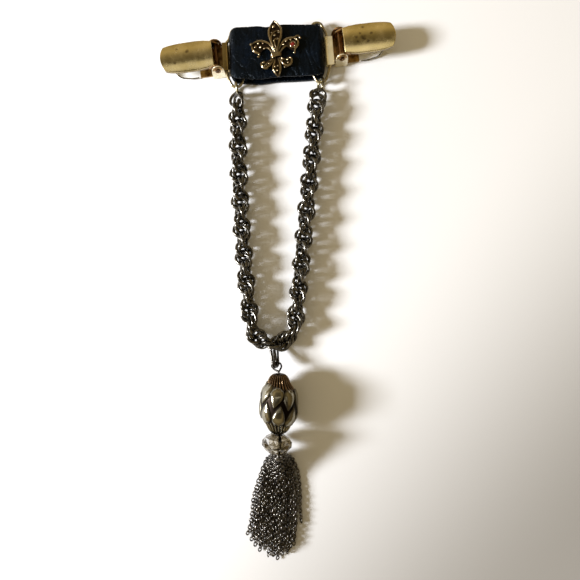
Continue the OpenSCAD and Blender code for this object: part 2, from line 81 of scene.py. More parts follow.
bm = bmesh.new()
bmesh.ops.create_grid(bm, x_segments=1, y_segments=1, size=PAPER_HALF)
bmesh.ops.translate(bm, verts=bm.verts, vec=(0, 0, PAPER_Z))
paper = finish_mesh("paper", bm, smooth=False)


def new_material(name, colour, roughness, metallic=0.0):
    """A material with its Principled shader, and the shader."""
    mat = bpy.data.materials.new(name)
    mat.use_nodes = True
    shader = mat.node_tree.nodes["Principled BSDF"]
    shader.inputs["Base Color"].default_value = (*colour, 1)
    shader.inputs["Roughness"].default_value = roughness
    shader.inputs["Metallic"].default_value = metallic
    return mat, shader


def join(value, into):
    """Links an output to a socket, or sets the socket to a plain number, colour or vector."""
    if isinstance(value, bpy.types.NodeSocket):
        value.id_data.links.new(value, into)
    elif into.type == "RGBA":
        into.default_value = (*value, 1)
    else:
        into.default_value = value


def add_node(owner, kind, **values):
    """A node of a material, the world or a group; a key with a capital is one of its sockets."""
    node = getattr(owner, "node_tree", owner).nodes.new(kind)
    for key, value in values.items():
        if key[0].isupper():
            join(value, node.inputs[key.replace("_", " ")])
        else:
            setattr(node, key, value)
    return node


def object_coords(owner):
    return add_node(owner, "ShaderNodeTexCoord").outputs["Object"]


def noise_of(owner, coords, scale, detail=4.0, rough=0.55):
    """A noise value; its scale is in cycles per metre."""
    node = add_node(owner, "ShaderNodeTexNoise", Vector=coords, Scale=scale, Detail=detail, Roughness=rough)
    return node.outputs["Fac"]


def map_value(owner, value, low, high, to_low=0.0, to_high=1.0, curve="SMOOTHSTEP"):
    """The value brought from one range to another, and held inside it."""
    node = add_node(owner, "ShaderNodeMapRange", interpolation_type=curve)
    for number, into in zip((value, low, high, to_low, to_high), node.inputs):
        join(number, into)
    return node.outputs[0]


def ramp_of(owner, value, stops):
    """A colour ramp with stops of place and colour."""
    node = add_node(owner, "ShaderNodeValToRGB", Fac=value)
    ramp = node.color_ramp
    for place, colour in stops[2:]:
        ramp.elements.new(place)
    for element, (place, colour) in zip(ramp.elements, stops):
        element.position = place
        element.color = (*colour, 1)
    return node.outputs["Color"]


def bump_of(owner, height, distance, strength, normal=None):
    """A bump of that distance in metres, over another normal where one is given."""
    node = add_node(owner, "ShaderNodeBump", Height=height, Distance=distance, Strength=strength)
    if normal:
        join(normal, node.inputs["Normal"])
    return node.outputs["Normal"]


def distance_along(owner, coords, direction):
    node = add_node(owner, "ShaderNodeVectorMath", operation="DOT_PRODUCT")
    join(coords, node.inputs[0])
    join(direction, node.inputs[1])
    return node.outputs["Value"]


mat, shader = new_material("paper_white", (0.82, 0.81, 0.79), 0.75)
coords = object_coords(mat)
# painted shade: the paper's colour darkens towards its lower right corner, which lies further from the window
painted_shade_to_corner = map_value(mat, distance_along(mat, coords, (1.0, -1.0, 0.0)), 0.03, 0.25)
join(ramp_of(mat, painted_shade_to_corner, [(0.0, (0.84, 0.835, 0.825)), (1.0, (0.34, 0.325, 0.30))]),
     shader.inputs["Base Color"])
join(bump_of(mat, noise_of(mat, coords, 900.0, 6.0), 0.00004, 0.4), shader.inputs["Normal"])
paper.data.materials.append(mat)


def add_light(name, place, aim, size, power, colour):
    """A square-cornered area light that looks from its place to its aim."""
    light = bpy.data.lights.new(name, "AREA")
    light.shape = "RECTANGLE"
    light.size, light.size_y = size
    light.energy = power
    light.color = colour
    obj = add_object(name, light)
    obj.location = place
    obj.rotation_euler = (aim - place).to_track_quat("-Z", "Y").to_euler()


add_light("key", spot(-1010, -80, 450), spot(0, 0, 0), (0.22, 0.22), 33.2, (0.94, 0.97, 1.04))
add_light("ceiling_panel", spot(0, 95, 800), spot(0, 95, 0), (0.8, 0.26), 0.5, (1.0, 0.93, 0.78))
bpy.context.scene.view_settings.view_transform = "Standard"

# the room: dark straight above, warm walls and a brighter left side
world = bpy.data.worlds.new("studio")
world.use_nodes = True
bpy.context.scene.world = world
directions = add_node(world, "ShaderNodeTexCoord").outputs["Generated"]
split = add_node(world, "ShaderNodeSeparateXYZ", Vector=directions)


def room_colours(axis, stops):
    """The room's colours along an axis that runs from -1 to 1."""
    value = map_value(world, split.outputs[axis], -1.0, 1.0, curve="LINEAR")
    return ramp_of(world, value, [(0.5 + 0.5 * place, colour) for place, colour in stops])


def mix_of(owner, share, first, second, blend="MIX"):
    """Two colours mixed; the share is the second one's."""
    node = add_node(owner, "ShaderNodeMix", data_type="RGBA", blend_type=blend)
    for value, socket in ((share, 0), (first, 6), (second, 7)):
        join(value, node.inputs[socket])
    return node.outputs[2]


walls = room_colours("Z", ((-0.2, (0.26, 0.20, 0.11)), (0.05, (0.42, 0.32, 0.165)),
                           (0.4, (0.56, 0.435, 0.225)), (0.64, (0.78, 0.62, 0.34)),
                           (0.82, (0.27, 0.215, 0.125)), (1.0, (0.10, 0.082, 0.05))))
left_to_right = room_colours("X", ((-0.9, (1.35, 1.35, 1.4)), (-0.2, (1.0, 1.0, 1.0)),
                                   (0.8, (0.62, 0.58, 0.50))))
background = world.node_tree.nodes["Background"]
join(mix_of(world, 1.0, walls, left_to_right, "MULTIPLY"), background.inputs["Color"])
background.inputs["Strength"].default_value = 0.8

# Leather band: one strip of smooth navy leather, folded into a flat loop round the inner bars of both
# rings. Its long edges are cut by hand, so they wander, and long soft creases run over its front.
def placed(x, y, degrees, z=0.0):
    """A place as for spot, turned about the upright axis."""
    return Matrix.Translation(spot(x, y, z)) @ Matrix.Rotation(math.radians(degrees), 4, "Z")


BAND = placed(-5.75, 104.5, 2.2)
BAND_HALF, BAND_THICK, BAND_CORNER = 21.0, 6.2, 3.8
LEATHER_THICK = 1.6
# how deep the front waves, creases and puckers, and how far it drops to its cut edges
WAVE, CREASE, PUCKER, EDGE_DROP = 0.16, 0.30, 0.12, 0.28
fold = BAND_THICK / 2
flat_part = BAND_HALF - fold


def ease(t):
    """A soft step from 0 to 1."""
    t = max(0.0, min(1.0, t))
    return t * t * (3 - 2 * t)


def band_back(x):
    """The band's upper edge in the photograph."""
    return 11.15 + 0.25 * math.cos(math.radians(9 * x)) - 0.75 * math.exp(-((x + 4.2) / 2.6) ** 2)


def band_front(x):
    """Its lower edge, with one long dip."""
    return -11.45 - 0.75 * math.exp(-((x + 8) / 5) ** 2) + 0.3 * ease((x - 8) / 10)


def band_point(u, v):
    """u goes round the loop and v across it; both are 0 to 1."""
    straight, bend = 2 * flat_part, math.pi * fold
    s = u * 2 * (straight + bend)
    if s < straight:
        x, z = -flat_part + s, BAND_THICK
    elif s < straight + bend:
        a = (s - straight) / fold
        x, z = flat_part + fold * math.sin(a), fold + fold * math.cos(a)
    elif s < 2 * straight + bend:
        x, z = flat_part - (s - straight - bend), 0.0
    else:
        a = (s - 2 * straight - bend) / fold
        x, z = -flat_part - fold * math.sin(a), fold - fold * math.cos(a)
    corner = max(0.0, abs(x) - (BAND_HALF - BAND_CORNER))
    cut = BAND_CORNER - math.sqrt(max(0.0, BAND_CORNER * BAND_CORNER - corner * corner))
    low, high = band_front(x) + cut, band_back(x) - cut
    y = low + (high - low) * v
    on_front = ease((z - 2.5) / 3)
    wave = noise.noise(Vector((x * 0.11, y * 0.16, 3.0))) * WAVE
    folds = noise.noise(Vector((x * 0.16 + y * 0.05 + 3, y * 0.07 - x * 0.02, 8.0)))
    pucker = abs(noise.noise(Vector((x * 0.45 + 7, y * 0.14, 1.0))))
    crease = CREASE * max(0.0, 1 - abs(folds) / 0.05) ** 2 + PUCKER * pucker
    edge = min(y - low, high - y)
    z += on_front * (wave - crease - EDGE_DROP * math.exp(-edge / 0.9))
    return Vector((x * MM, y * MM, z * MM))


bm = bmesh.new()
bmesh.ops.create_grid(bm, x_segments=260, y_segments=74, size=0.5)
for v in bm.verts:
    v.co = BAND @ band_point(v.co.x + 0.5, v.co.y + 0.5)
bmesh.ops.remove_doubles(bm, verts=bm.verts, dist=1e-6)
bmesh.ops.recalc_face_normals(bm, faces=bm.faces)
leather = finish_mesh("leather_strip", bm)
wall = leather.modifiers.new("thickness", "SOLIDIFY")
wall.thickness = LEATHER_THICK * MM
wall.offset = -1
round_off = leather.modifiers.new("soft_edges", "SUBSURF")
round_off.levels = round_off.render_levels = 1

mat, shader = new_material("navy_leather", (0.003, 0.004, 0.006), 0.36)
coords = object_coords(mat)
dye = [(0.3, (0.0006, 0.0011, 0.0014)), (0.55, (0.0010, 0.0022, 0.0040)), (0.78, (0.0025, 0.0060, 0.0130))]
join(ramp_of(mat, noise_of(mat, coords, 120.0, 5.0), dye), shader.inputs["Base Color"])
join(map_value(mat, noise_of(mat, coords, 420.0, 6.0), 0.3, 0.75, 0.24, 0.38), shader.inputs["Roughness"])
pores = add_node(mat, "ShaderNodeTexVoronoi", feature="DISTANCE_TO_EDGE", Vector=coords, Scale=2100.0)
grain = bump_of(mat, map_value(mat, pores.outputs["Distance"], 0.0, 0.16), 0.00005, 0.35)
stretch = add_node(mat, "ShaderNodeMapping", Vector=coords, Scale=(1.0, 0.28, 1.0))
wrinkles = noise_of(mat, stretch.outputs["Vector"], 900.0, 5.0, 0.65)
join(bump_of(mat, wrinkles, 0.0007, 0.8, grain), shader.inputs["Normal"])
shader.inputs["Specular IOR Level"].default_value = 0.11
shader.inputs["Specular Tint"].default_value = (0.72, 0.86, 1.0, 1)
leather.data.materials.append(mat)
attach(leather, "band")
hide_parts("leather_band")

# Fleur-de-lis: one cast ornament of antiqued gold, laid on the leather. Thin plates carry raised
# rims, curls and balls, and a collar ties the petals. The hollows keep the brown antiquing and the
# high places are rubbed bright.
ORNAMENT = Matrix.Translation(spot(-5.976, 101.85, 6.25))
PLATE_HEIGHT, PLATE_CROWN, PLATE_RIM = 0.62, 0.14, 0.3
TAU = 2 * math.pi


def merge_mesh(bm, mesh, place):
    """Adds a mesh to the bmesh at a place, and removes it."""
    mesh.transform(place)
    bm.from_mesh(mesh)
    bpy.data.meshes.remove(mesh)


def merge_part(bm, part, place):
    """Adds one bmesh to another at a place, and frees it."""
    mesh = bpy.data.meshes.new("part")
    part.to_mesh(mesh)
    part.free()
    merge_mesh(bm, mesh, place)


def only(kind, grown):
    """What an operator made, of one kind."""
    return [g for g in grown["geom"] if isinstance(g, kind)]


def shift(x, y, z):
    """A move in millimetres."""
    return Matrix.Translation((x * MM, y * MM, z * MM))


def arc(x, y, radius, angles):
    """Points on a circle round x, y at the angles in degrees."""
    turns = [math.radians(a) for a in angles]
    return [(x + radius * math.cos(a), y + radius * math.sin(a)) for a in turns]


def wire_into(bm, points, radius, closed=False, taper=0.0, sides=3, place=Matrix(), steps=6):
    """Adds a round wire through the points, in millimetres; taper thins an open wire's ends."""
    data = bpy.data.curves.new("wire", "CURVE")
    data.dimensions = "3D"
    data.bevel_depth = radius * MM
    data.bevel_resolution = sides
    data.use_fill_caps = not closed
    data.resolution_u = steps
    spline = data.splines.new("BEZIER")
    spline.bezier_points.add(len(points) - 1)
    last = len(points) - 1
    for i, (knot, point) in enumerate(zip(spline.bezier_points, points)):
        knot.co = Vector(point) * MM
        knot.handle_left_type = knot.handle_right_type = "AUTO"
        end = 1 if closed else min(1.0, 3.0 * min(i, last - i) / max(1, last))
        knot.radius = 1 - taper * (1 - end)
    spline.use_cyclic_u = closed
    temp = add_object("wire", data)
    evaluated = temp.evaluated_get(bpy.context.evaluated_depsgraph_get())
    merge_mesh(bm, bpy.data.meshes.new_from_object(evaluated), place)
    bpy.data.objects.remove(temp)
    bpy.data.curves.remove(data)


def smooth_loop(points, steps=3):
    """A closed outline through the points with rounded corners."""
    n = len(points)
    out = []
    for i in range(n):
        a, b, c, d = (Vector(points[(i + k) % n]) for k in (-1, 0, 1, 2))
        square, cube = 2 * a - 5 * b + 4 * c - d, 3 * b - a - 3 * c + d
        for j in range(steps):
            t = j / steps
            out.append(0.5 * (2 * b + (c - a) * t + square * t ** 2 + cube * t ** 3))
    return out


def plate_into(bm, outline):
    """Adds a thin cast plate with a softened rim; the outline is in millimetres."""
    part = bmesh.new()
    verts = [part.verts.new((p.x * MM, p.y * MM, 0)) for p in smooth_loop(outline)]
    face = part.faces.new(verts)
    sides = zip(verts, verts[1:] + verts[:1])
    if sum(a.co.x * b.co.y - b.co.x * a.co.y for a, b in sides) < 0:
        bmesh.ops.reverse_faces(part, faces=[face])
    grown = bmesh.ops.extrude_face_region(part, geom=[face])
    top = only(bmesh.types.BMFace, grown)
    bmesh.ops.translate(part, vec=(0, 0, PLATE_HEIGHT * MM), verts=only(bmesh.types.BMVert, grown))
    bmesh.ops.inset_region(part, faces=top, thickness=PLATE_RIM * MM, depth=PLATE_CROWN * MM)
    bmesh.ops.triangulate(part, faces=[f for f in part.faces if len(f.verts) > 4])
    bmesh.ops.recalc_face_normals(part, faces=part.faces)
    merge_part(bm, part, ORNAMENT)


def ball_into(bm, x, y, z, radius, flat=1.0):
    """Adds a cast ball to the ornament."""
    bmesh.ops.create_uvsphere(bm, u_segments=16, v_segments=10, radius=radius * MM,
                              matrix=ORNAMENT @ shift(x, y, z) @ Matrix.Diagonal((1, 1, flat, 1)))


petal_left = [(-1, 14.9), (-2.4, 12.5), (-3.2, 10), (-2.9, 7.7), (-2.1, 5.4), (-1.2, 3.1), (-0.4, 1.2)]
petal_right = [(-1, 14.9), (0.7, 13.3), (1.9, 11.4), (2.1, 9.4), (1.8, 7.1), (1.1, 4.6), (0.6, 1.2)]
leaf_left = [(0.7, 10.7), (-0.9, 9.8), (-1.9, 8.5), (-2.2, 6.5), (-1.6, 4.4), (-0.8, 2.3), (-0.3, 1)]
leaf_right = [(0.7, 10.7), (1.7, 9.8), (1.9, 8.1), (1.3, 6.2), (0.8, 4), (0.5, 1.2)]
heart_left = [(0.5, 7.3), (-0.6, 6.5), (-0.6, 4.6), (0, 2.7), (0.1, 1)]
heart_right = [(0.5, 7.3), (1.3, 6.5), (1.1, 4.6), (0.6, 2.7), (0.3, 1)]
arm_left = [(-0.9, 1.2), (-1.6, 2.9), (-2.8, 4.5), (-5.1, 5.6), (-7, 5.9), (-9, 5.5), (-10.9, 4.4)]
arm_left_inner = [(-1, 0.3), (-1.8, 1.2), (-2.8, 2.3), (-3.9, 3), (-5.1, 2.8)]
curl_left = [(-10.6, 3.9), (-10.3, 2.5), (-9.3, 1.3), (-8.2, 0.7), (-7.3, 0.2), (-7.6, -0.9)]
arm_right = [(0.8, 1.2), (1.4, 3.1), (2.5, 5), (3.9, 6.5), (5.9, 7.2), (7.8, 7.5), (9.6, 8.3), (10.5, 7)]
arm_right_inner = [(1.3, 0.4), (2.2, 1.9), (3.2, 3.1), (4.2, 3.8), (5.1, 3.6)]
curl_right = [(7.8, 7.3), (9, 6.5), (9.5, 5.2), (9.1, 3.8), (8.2, 2.5), (8, 1.1)]
low_left = [(-1, -1.2), (-1.6, -2.9), (-3.2, -4.8), (-4.7, -5.9), (-6.1, -4.8), (-6.5, -3.7), (-5.5, -2.9)]
low_left_leaf = [(-1.3, -1), (-2.2, -2.3), (-3.5, -3)]
low_right = [(1.3, -1), (2.2, -2.7), (3.4, -4), (5.1, -4.6), (6.4, -3.7), (6.7, -2.1), (6, -1), (4.9, -1.3)]
low_right_leaf = [(1.8, -0.8), (3, -1.7), (4.2, -2)]
low_right_tip = [(3.2, -4.2), (3.8, -5.1), (4.9, -5.2)]
foot_left = [(-0.3, -1.2), (-0.8, -3.5), (-1.3, -5.8), (-0.6, -7.5), (0.8, -9.3)]
foot_right = [(0.7, -1.2), (1.5, -3.3), (1.9, -5.8), (1.6, -7.7), (1, -9.3)]
plates = (petal_left + petal_right[:0:-1],
          arm_left + curl_left[1:5] + [(-6.4, 1.7)] + arm_left_inner[::-1],
          arm_right[:6] + curl_right[1:5] + [(6.8, 2.5)] + arm_right_inner[::-1],
          low_left, low_right, foot_left + foot_right[:-1][::-1])
# each rim or curl, its wire's radius and its height
rims = ((petal_left, 0.5, 1.15), (petal_right, 0.5, 1.15), (leaf_left, 0.37, 1.3), (leaf_right, 0.37, 1.3),
        (heart_left, 0.33, 1.5), (heart_right, 0.33, 1.5), (arm_left, 0.5, 1.15), (arm_right, 0.5, 1.15),
        (arm_left_inner, 0.44, 1.05), (arm_right_inner, 0.44, 1.05), (curl_left, 0.56, 1.2),
        (curl_right, 0.52, 1.2), (low_left, 0.52, 1.1), (low_right, 0.52, 1.1), (low_left_leaf, 0.44, 1.0),
        (low_right_leaf, 0.46, 1.0), (low_right_tip, 0.42, 0.8), (foot_left, 0.5, 1.1),
        (foot_right, 0.5, 1.1))
# each ball's place and radius
balls = ((-10.9, 4.4, 0.62), (-7.7, 4.8, 0.5), (-5.7, 5, 0.45), (-6.8, 3.2, 0.6), (-5.1, 2.7, 0.5),
         (-1.1, 12.2, 0.75), (-0.6, 8.5, 0.6), (-5.3, -3.3, 0.65), (-4.1, -4, 0.5), (4.9, -1.9, 0.6),
         (-0.4, -5.2, 0.6), (0.8, -4.8, 0.5), (4.5, 6.2, 0.55), (6.3, 6.7, 0.5), (10.4, 7.3, 0.5),
         (8, 1, 0.5), (-7.6, -0.9, 0.48), (-1.9, 9.6, 0.4), (0.9, 9.9, 0.42), (-0.9, 5.9, 0.5),
         (0.3, 6.6, 0.42), (-8.9, 3.3, 0.62), (3.3, 4.6, 0.42), (0.3, -6.7, 0.62), (2.6, -2.3, 0.5),
         (-2.9, -3.7, 0.45), (5.2, -3.3, 0.5), (-4.9, -4.9, 0.5))
BALL_HEIGHT, COLLAR_TURN = 1.1, 14
BEZEL_X, BEZEL_Y, BEZEL_RADIUS, GRAIN_RADIUS = 7.2, 4.4, 1.25, 1.12

bm = bmesh.new()
for outline in plates:
    plate_into(bm, outline)
for path, radius, height in rims:
    n = len(path) - 1
    arched = [(x, y, height * (0.72 + 0.28 * math.sin(math.pi * i / n))) for i, (x, y) in enumerate(path)]
    wire_into(bm, arched, radius, taper=0.5, place=ORNAMENT)
for x, y, radius in balls:
    ball_into(bm, x, y, BALL_HEIGHT, radius, 0.8)
collar = ORNAMENT @ Matrix.Rotation(math.radians(COLLAR_TURN), 4, "Z")
for y, radius in ((0, 0.62), (0.62, 0.34), (-0.62, 0.34)):
    arched = [(x, y, z) for x, z in ((-2.3, 0.7), (-1.5, 1.35), (0, 1.55), (1.5, 1.35), (2.3, 0.7))]
    wire_into(bm, arched, radius, taper=0.2, place=collar)
bezel = [(x, y, 1.35) for x, y in arc(BEZEL_X, BEZEL_Y, BEZEL_RADIUS, range(0, 360, 45))]
wire_into(bm, bezel, 0.3, closed=True, place=ORNAMENT)
for x, y in arc(BEZEL_X, BEZEL_Y, GRAIN_RADIUS, (45, 135, 225, 315)):
    ball_into(bm, x, y, 1.55, 0.28)
ornament = finish_mesh("fleur_casting", bm, angle=50)


def finish_group(name, colours, numbers, results):
    """A node group with the sockets that it takes in, and its results with their kinds."""
    group = bpy.data.node_groups.new(name, "ShaderNodeTree")
    for socket in colours:
        group.interface.new_socket(name=socket, in_out="INPUT", socket_type="NodeSocketColor")
    for socket in numbers:
        group.interface.new_socket(name=socket, in_out="INPUT", socket_type="NodeSocketFloat")
    for socket, kind in results.items():
        group.interface.new_socket(name=socket, in_out="OUTPUT", socket_type="NodeSocket" + kind)
    return group, add_node(group, "NodeGroupInput").outputs, add_node(group, "NodeGroupOutput").inputs


def math_of(owner, operation, *values):
    node = add_node(owner, "ShaderNodeMath", operation=operation)
    for value, into in zip(values, node.inputs):
        join(value, into)
    return node.outputs[0]


# antiquing: brown where the casting is low, bright where it is high, with a ragged border and the
# fine grain of the mould
antiquing, given, made = finish_group("rubbed_antiquing", ("Hollow", "Middle", "Crest"),
                                      ("Height", "Patch scale"),
                                      {"Color": "Color", "Roughness": "Float", "Normal": "Vector"})
coords = object_coords(antiquing)
ragged = noise_of(antiquing, coords, given["Patch scale"], 6.0, 0.5)
lowered = math_of(antiquing, "SUBTRACT", given["Height"], 0.35)
rubbed = math_of(antiquing, "MULTIPLY_ADD", ragged, 0.7, lowered)
past_hollow = map_value(antiquing, rubbed, 0.12, 0.5, curve="LINEAR")
past_middle = map_value(antiquing, rubbed, 0.55, 0.95, curve="LINEAR")
lower = mix_of(antiquing, past_hollow, given["Hollow"], given["Middle"])
join(mix_of(antiquing, past_middle, lower, given["Crest"]), made["Color"])
join(map_value(antiquing, rubbed, 0.1, 0.9, 0.48, 0.15, "LINEAR"), made["Roughness"])
join(bump_of(antiquing, noise_of(antiquing, coords, 1800.0), 0.00006, 0.35), made["Normal"])


def antiqued(name, hollow, middle, crest, patch_scale):
    """A cast metal with antiquing in its hollows; the group still needs its Height, from 0 to 1."""
    mat, shader = new_material(name, middle, 0.35, 1.0)
    wear = add_node(mat, "ShaderNodeGroup", node_tree=antiquing, Hollow=hollow, Middle=middle, Crest=crest,
                    Patch_scale=patch_scale)
    join(wear.outputs["Color"], shader.inputs["Base Color"])
    join(wear.outputs["Roughness"], shader.inputs["Roughness"])
    join(wear.outputs["Normal"], shader.inputs["Normal"])
    return mat, shader, wear


mat, shader, wear = antiqued("antique_gold", (0.032, 0.020, 0.012), (0.082, 0.058, 0.033),
                             (0.33, 0.26, 0.155), 700.0)
split = add_node(mat, "ShaderNodeSeparateXYZ", Vector=object_coords(mat))
join(map_value(mat, split.outputs["Z"], 6.6 * MM, 7.9 * MM), wear.inputs["Height"])
ornament.data.materials.append(mat)
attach(ornament, "band")
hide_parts("fleur_ornament")

# Red stone: a small cut glass stone, foiled at the back, in the bezel on the ornament's right-hand
# curl. Four grains hold it. The solid already has its facets, so it only gets its glass.
mat, shader = new_material("ruby_glass", (0.42, 0.01, 0.012), 0.04)
shader.inputs["Coat Weight"].default_value = 0.6
shader.inputs["Specular IOR Level"].default_value = 0.9
foil = [(0.35, (0.05, 0.003, 0.003)), (0.6, (0.18, 0.012, 0.010)), (0.75, (0.42, 0.07, 0.03))]
join(ramp_of(mat, noise_of(mat, object_coords(mat), 1500.0, 2.0), foil), shader.inputs["Base Color"])
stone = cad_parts["red_stone"]
stone.data.materials.clear()
stone.data.materials.append(mat)

# D-rings and jump links: round gold plated wire, rubbed to brass on the links. Each D-ring passes
# through a fold of the leather, and its lower end carries a jump link for the chain's first ring.
RING_WIRE, RING_Z = 0.65, 3.1
LINK_RADIUS, LINK_WIRE = 2.7, 0.6
UPRIGHT = Matrix.Rotation(math.pi / 2, 4, "X")
# the middle of each ring's outer bar, which a clip's tab is rolled round
BARS = {"left": placed(-28.3, 102.9, 183), "right": placed(16.8, 105.4, 5)}


def ring_outline(tucked):
    """The outer bar is at x = 0; where tucked is set, one corner is bent in, under the leather."""
    half = [(0, 0), (0, 4.2), (0, 7.25)] + arc(-2, 7.25, 2, (11, 22)) + arc(-4, 10.6, 2.6, range(22, 91, 17))
    loop = half + [(-8 - x, y) for x, y in half[-2::-1]]
    other = []
    for x, y in loop[-2:0:-1]:
        pull = tucked * ease((y - 5.5) / 4)
        other.append((-4 + (x + 4) * (1 - 0.42 * pull), -y + 1.3 * pull))
    return loop + other


def spin_round(part, geom, steps):
    """Turns a section once round the upright axis, into a closed solid."""
    bmesh.ops.spin(part, geom=geom, cent=(0, 0, 0), axis=(0, 0, 1), dvec=(0, 0, 0), angle=TAU, steps=steps,
                   use_merge=True, use_duplicate=False)
    bmesh.ops.remove_doubles(part, verts=part.verts, dist=1e-7)
    bmesh.ops.recalc_face_normals(part, faces=part.faces)


def wire_ring(radius, wire, steps, sides):
    """A round wire ring: the wire's section, spun."""
    part = bmesh.new()
    section = bmesh.ops.create_circle(part, segments=sides, radius=wire * MM,
                                      matrix=shift(radius, 0, 0) @ UPRIGHT)
    spin_round(part, section["verts"] + list(part.edges), steps)
    return part


def ring_into(bm, centre, normal, radius, wire, steps, sides):
    """Adds a round wire ring with its middle and its axis."""
    facing = Vector(normal).to_track_quat("Z", "Y").to_matrix().to_4x4()
    merge_part(bm, wire_ring(radius, wire, steps, sides), Matrix.Translation(spot(*centre)) @ facing)


# plating: dark patches in a brighter colour, and a gloss that wanders
PLATING_NUMBERS = ("Patch scale", "Patch detail", "Dark below", "Bright above",
                   "Gloss scale", "Gloss detail", "Dull above", "Smoothest", "Dullest")
plating, given, made = finish_group("patchy_plating", ("Dark", "Bright"), PLATING_NUMBERS,
                                    {"Color": "Color", "Roughness": "Float"})
coords = object_coords(plating)
patches = noise_of(plating, coords, given["Patch scale"], given["Patch detail"])
share = map_value(plating, patches, given["Dark below"], given["Bright above"], curve="LINEAR")
join(mix_of(plating, share, given["Dark"], given["Bright"]), made["Color"])
gloss = noise_of(plating, coords, given["Gloss scale"], given["Gloss detail"])
join(map_value(plating, gloss, 0.3, given["Dull above"], given["Smoothest"], given["Dullest"]),
     made["Roughness"])
GOLD_PATCHES, GOLD_GLOSS = (260.0, 5.0, 0.32, 0.5), (260.0, 3.0, 0.8, 0.14, 0.30)


def plating_in(mat, dark, bright, patches=GOLD_PATCHES, gloss=GOLD_GLOSS):
    """Places the plating group in a material with its own values."""
    node = add_node(mat, "ShaderNodeGroup", node_tree=plating, Dark=dark, Bright=bright)
    for name, value in zip(PLATING_NUMBERS, patches + gloss):
        join(value, node.inputs[name])
    return node


def plated(name, dark, bright, patches=GOLD_PATCHES, gloss=GOLD_GLOSS, metallic=1.0, lacquer=0.0):
    """A plated metal, under clear lacquer where that is set."""
    mat, shader = new_material(name, bright, 0.3, metallic)
    node = plating_in(mat, dark, bright, patches, gloss)
    join(node.outputs["Color"], shader.inputs["Base Color"])
    join(node.outputs["Roughness"], shader.inputs["Roughness"])
    shader.inputs["Coat Weight"].default_value = lacquer
    shader.inputs["Coat Roughness"].default_value = 0.12
    return mat


pale_gold = plated("pale_gold", (0.20, 0.165, 0.095), (0.50, 0.43, 0.27))
for side, tucked in (("left", 1.0), ("right", 0.0)):
    bm = bmesh.new()
    outline = [(x, y, RING_Z) for x, y in ring_outline(tucked)]
    wire_into(bm, outline, RING_WIRE, closed=True, sides=4, steps=4, place=BARS[side])
    ring = finish_mesh("d_ring_" + side, bm)
    ring.data.materials.append(pale_gold)
    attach(ring, "band")
    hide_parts("ring_" + side)

link_brass = plated("link_brass", (0.11, 0.097, 0.06), (0.30, 0.275, 0.19))
for side, centre, normal in (("left", (-23.57, 88.86, 3.38), (0.976, 0.181, -0.122)),
                             ("right", (13.56, 90.76, 3.26), (0.934, -0.083, -0.348))):
    bm = bmesh.new()
    ring_into(bm, centre, normal, LINK_RADIUS, LINK_WIRE, 48, 14)
    link = finish_mesh("jump_link_" + side, bm)
    link.data.materials.append(link_brass)
    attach(link, "band")
    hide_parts("link_" + side)

# Chain: 130 round rings of dark plated wire. Every ring goes through the three before it, which
# gives the twisted rope. The ends hang from the jump links and the bend carries the bail.
CHAIN_WIRE, CHAIN_Z = 0.67, 4.15
BEND, BEND_RADIUS = Vector((-7.531, -13.873)), 10.1
LEFT_LEG, RIGHT_LEG = 100.9, 102.5
LEFT_HEADING, RIGHT_HEADING, LEFT_TURN = 83.8, 84.6, 6.1
bend_length = BEND_RADIUS * math.radians(LEFT_HEADING + RIGHT_HEADING)
bend_start = math.radians(-LEFT_HEADING - 90)
chain_length = LEFT_LEG + bend_length + RIGHT_LEG
# the rings near the lowest point are laid as in the bend, and this far from it as on the legs
BEND_REACH, BEND_FADE = 38.2, 21.9


def heading_vector(a):
    return Vector((math.cos(a), math.sin(a)))


def chain_route(s):
    """The chain's middle line at a distance s along it, with its direction."""
    if s < LEFT_LEG:
        q, k, h = LEFT_LEG - s, math.radians(LEFT_TURN) / LEFT_LEG, math.radians(-LEFT_HEADING)
        back = Vector((math.sin(h) - math.sin(h - k * q), math.cos(h - k * q) - math.cos(h))) / k
        return BEND + BEND_RADIUS * heading_vector(bend_start) - back, h - k * q
    if s < LEFT_LEG + bend_length:
        a = bend_start + (s - LEFT_LEG) / BEND_RADIUS
        return BEND + BEND_RADIUS * heading_vector(a), a + math.pi / 2
    a = bend_start + math.radians(LEFT_HEADING + RIGHT_HEADING)
    h = a + math.pi / 2
    return BEND + BEND_RADIUS * heading_vector(a) + (s - LEFT_LEG - bend_length) * heading_vector(h), h


# pitch, net turn, offset, tilt, lean, ring radius and inward shift, on the legs and in the bend
ON_LEG = (1.75, 26.6, 0.55, 75, 105.5, 3.12, 0)
IN_BEND = (1.92, 27.5, 0.34, 88.7, 90, 3.32, -0.28)
# the first ring's place along the chain; the last ring lies nearly flat, so the right link can take it
FIRST_RING, FIRST_TURN = 1.5, 12.0
LAST_RING, LAST_AXIS = Vector((12.5, 84.9, 4.6)), Vector((-0.12, -0.10, 1.0))
bm = bmesh.new()
s, turn = FIRST_RING, FIRST_TURN
while s <= chain_length:
    share = ease((BEND_REACH - abs(s - LEFT_LEG - bend_length / 2)) / BEND_FADE)
    pitch, net, offset, tilt, lean, radius, inward = (a + share * (b - a) for a, b in zip(ON_LEG, IN_BEND))
    middle, heading = chain_route(s)
    along = Vector((math.cos(heading), math.sin(heading), 0))
    across = Vector((along.y, -along.x, 0))
    a, tilt, lean = math.radians(turn), math.radians(tilt), math.radians(lean)
    centre = Vector((*middle, CHAIN_Z)) + across * (offset * math.cos(a) + inward)
    centre -= Vector((0, 0, offset * math.sin(a)))
    axis = across * math.sin(tilt) * math.cos(lean + a) + along * math.cos(tilt)
    axis -= Vector((0, 0, math.sin(tilt) * math.sin(lean + a)))
    if s + pitch > chain_length:
        centre, axis = LAST_RING, LAST_AXIS
    ring_into(bm, centre, axis, radius, CHAIN_WIRE, 28, 9)
    s += pitch
    turn += 180 + net
rope = finish_mesh("rope_chain", bm)


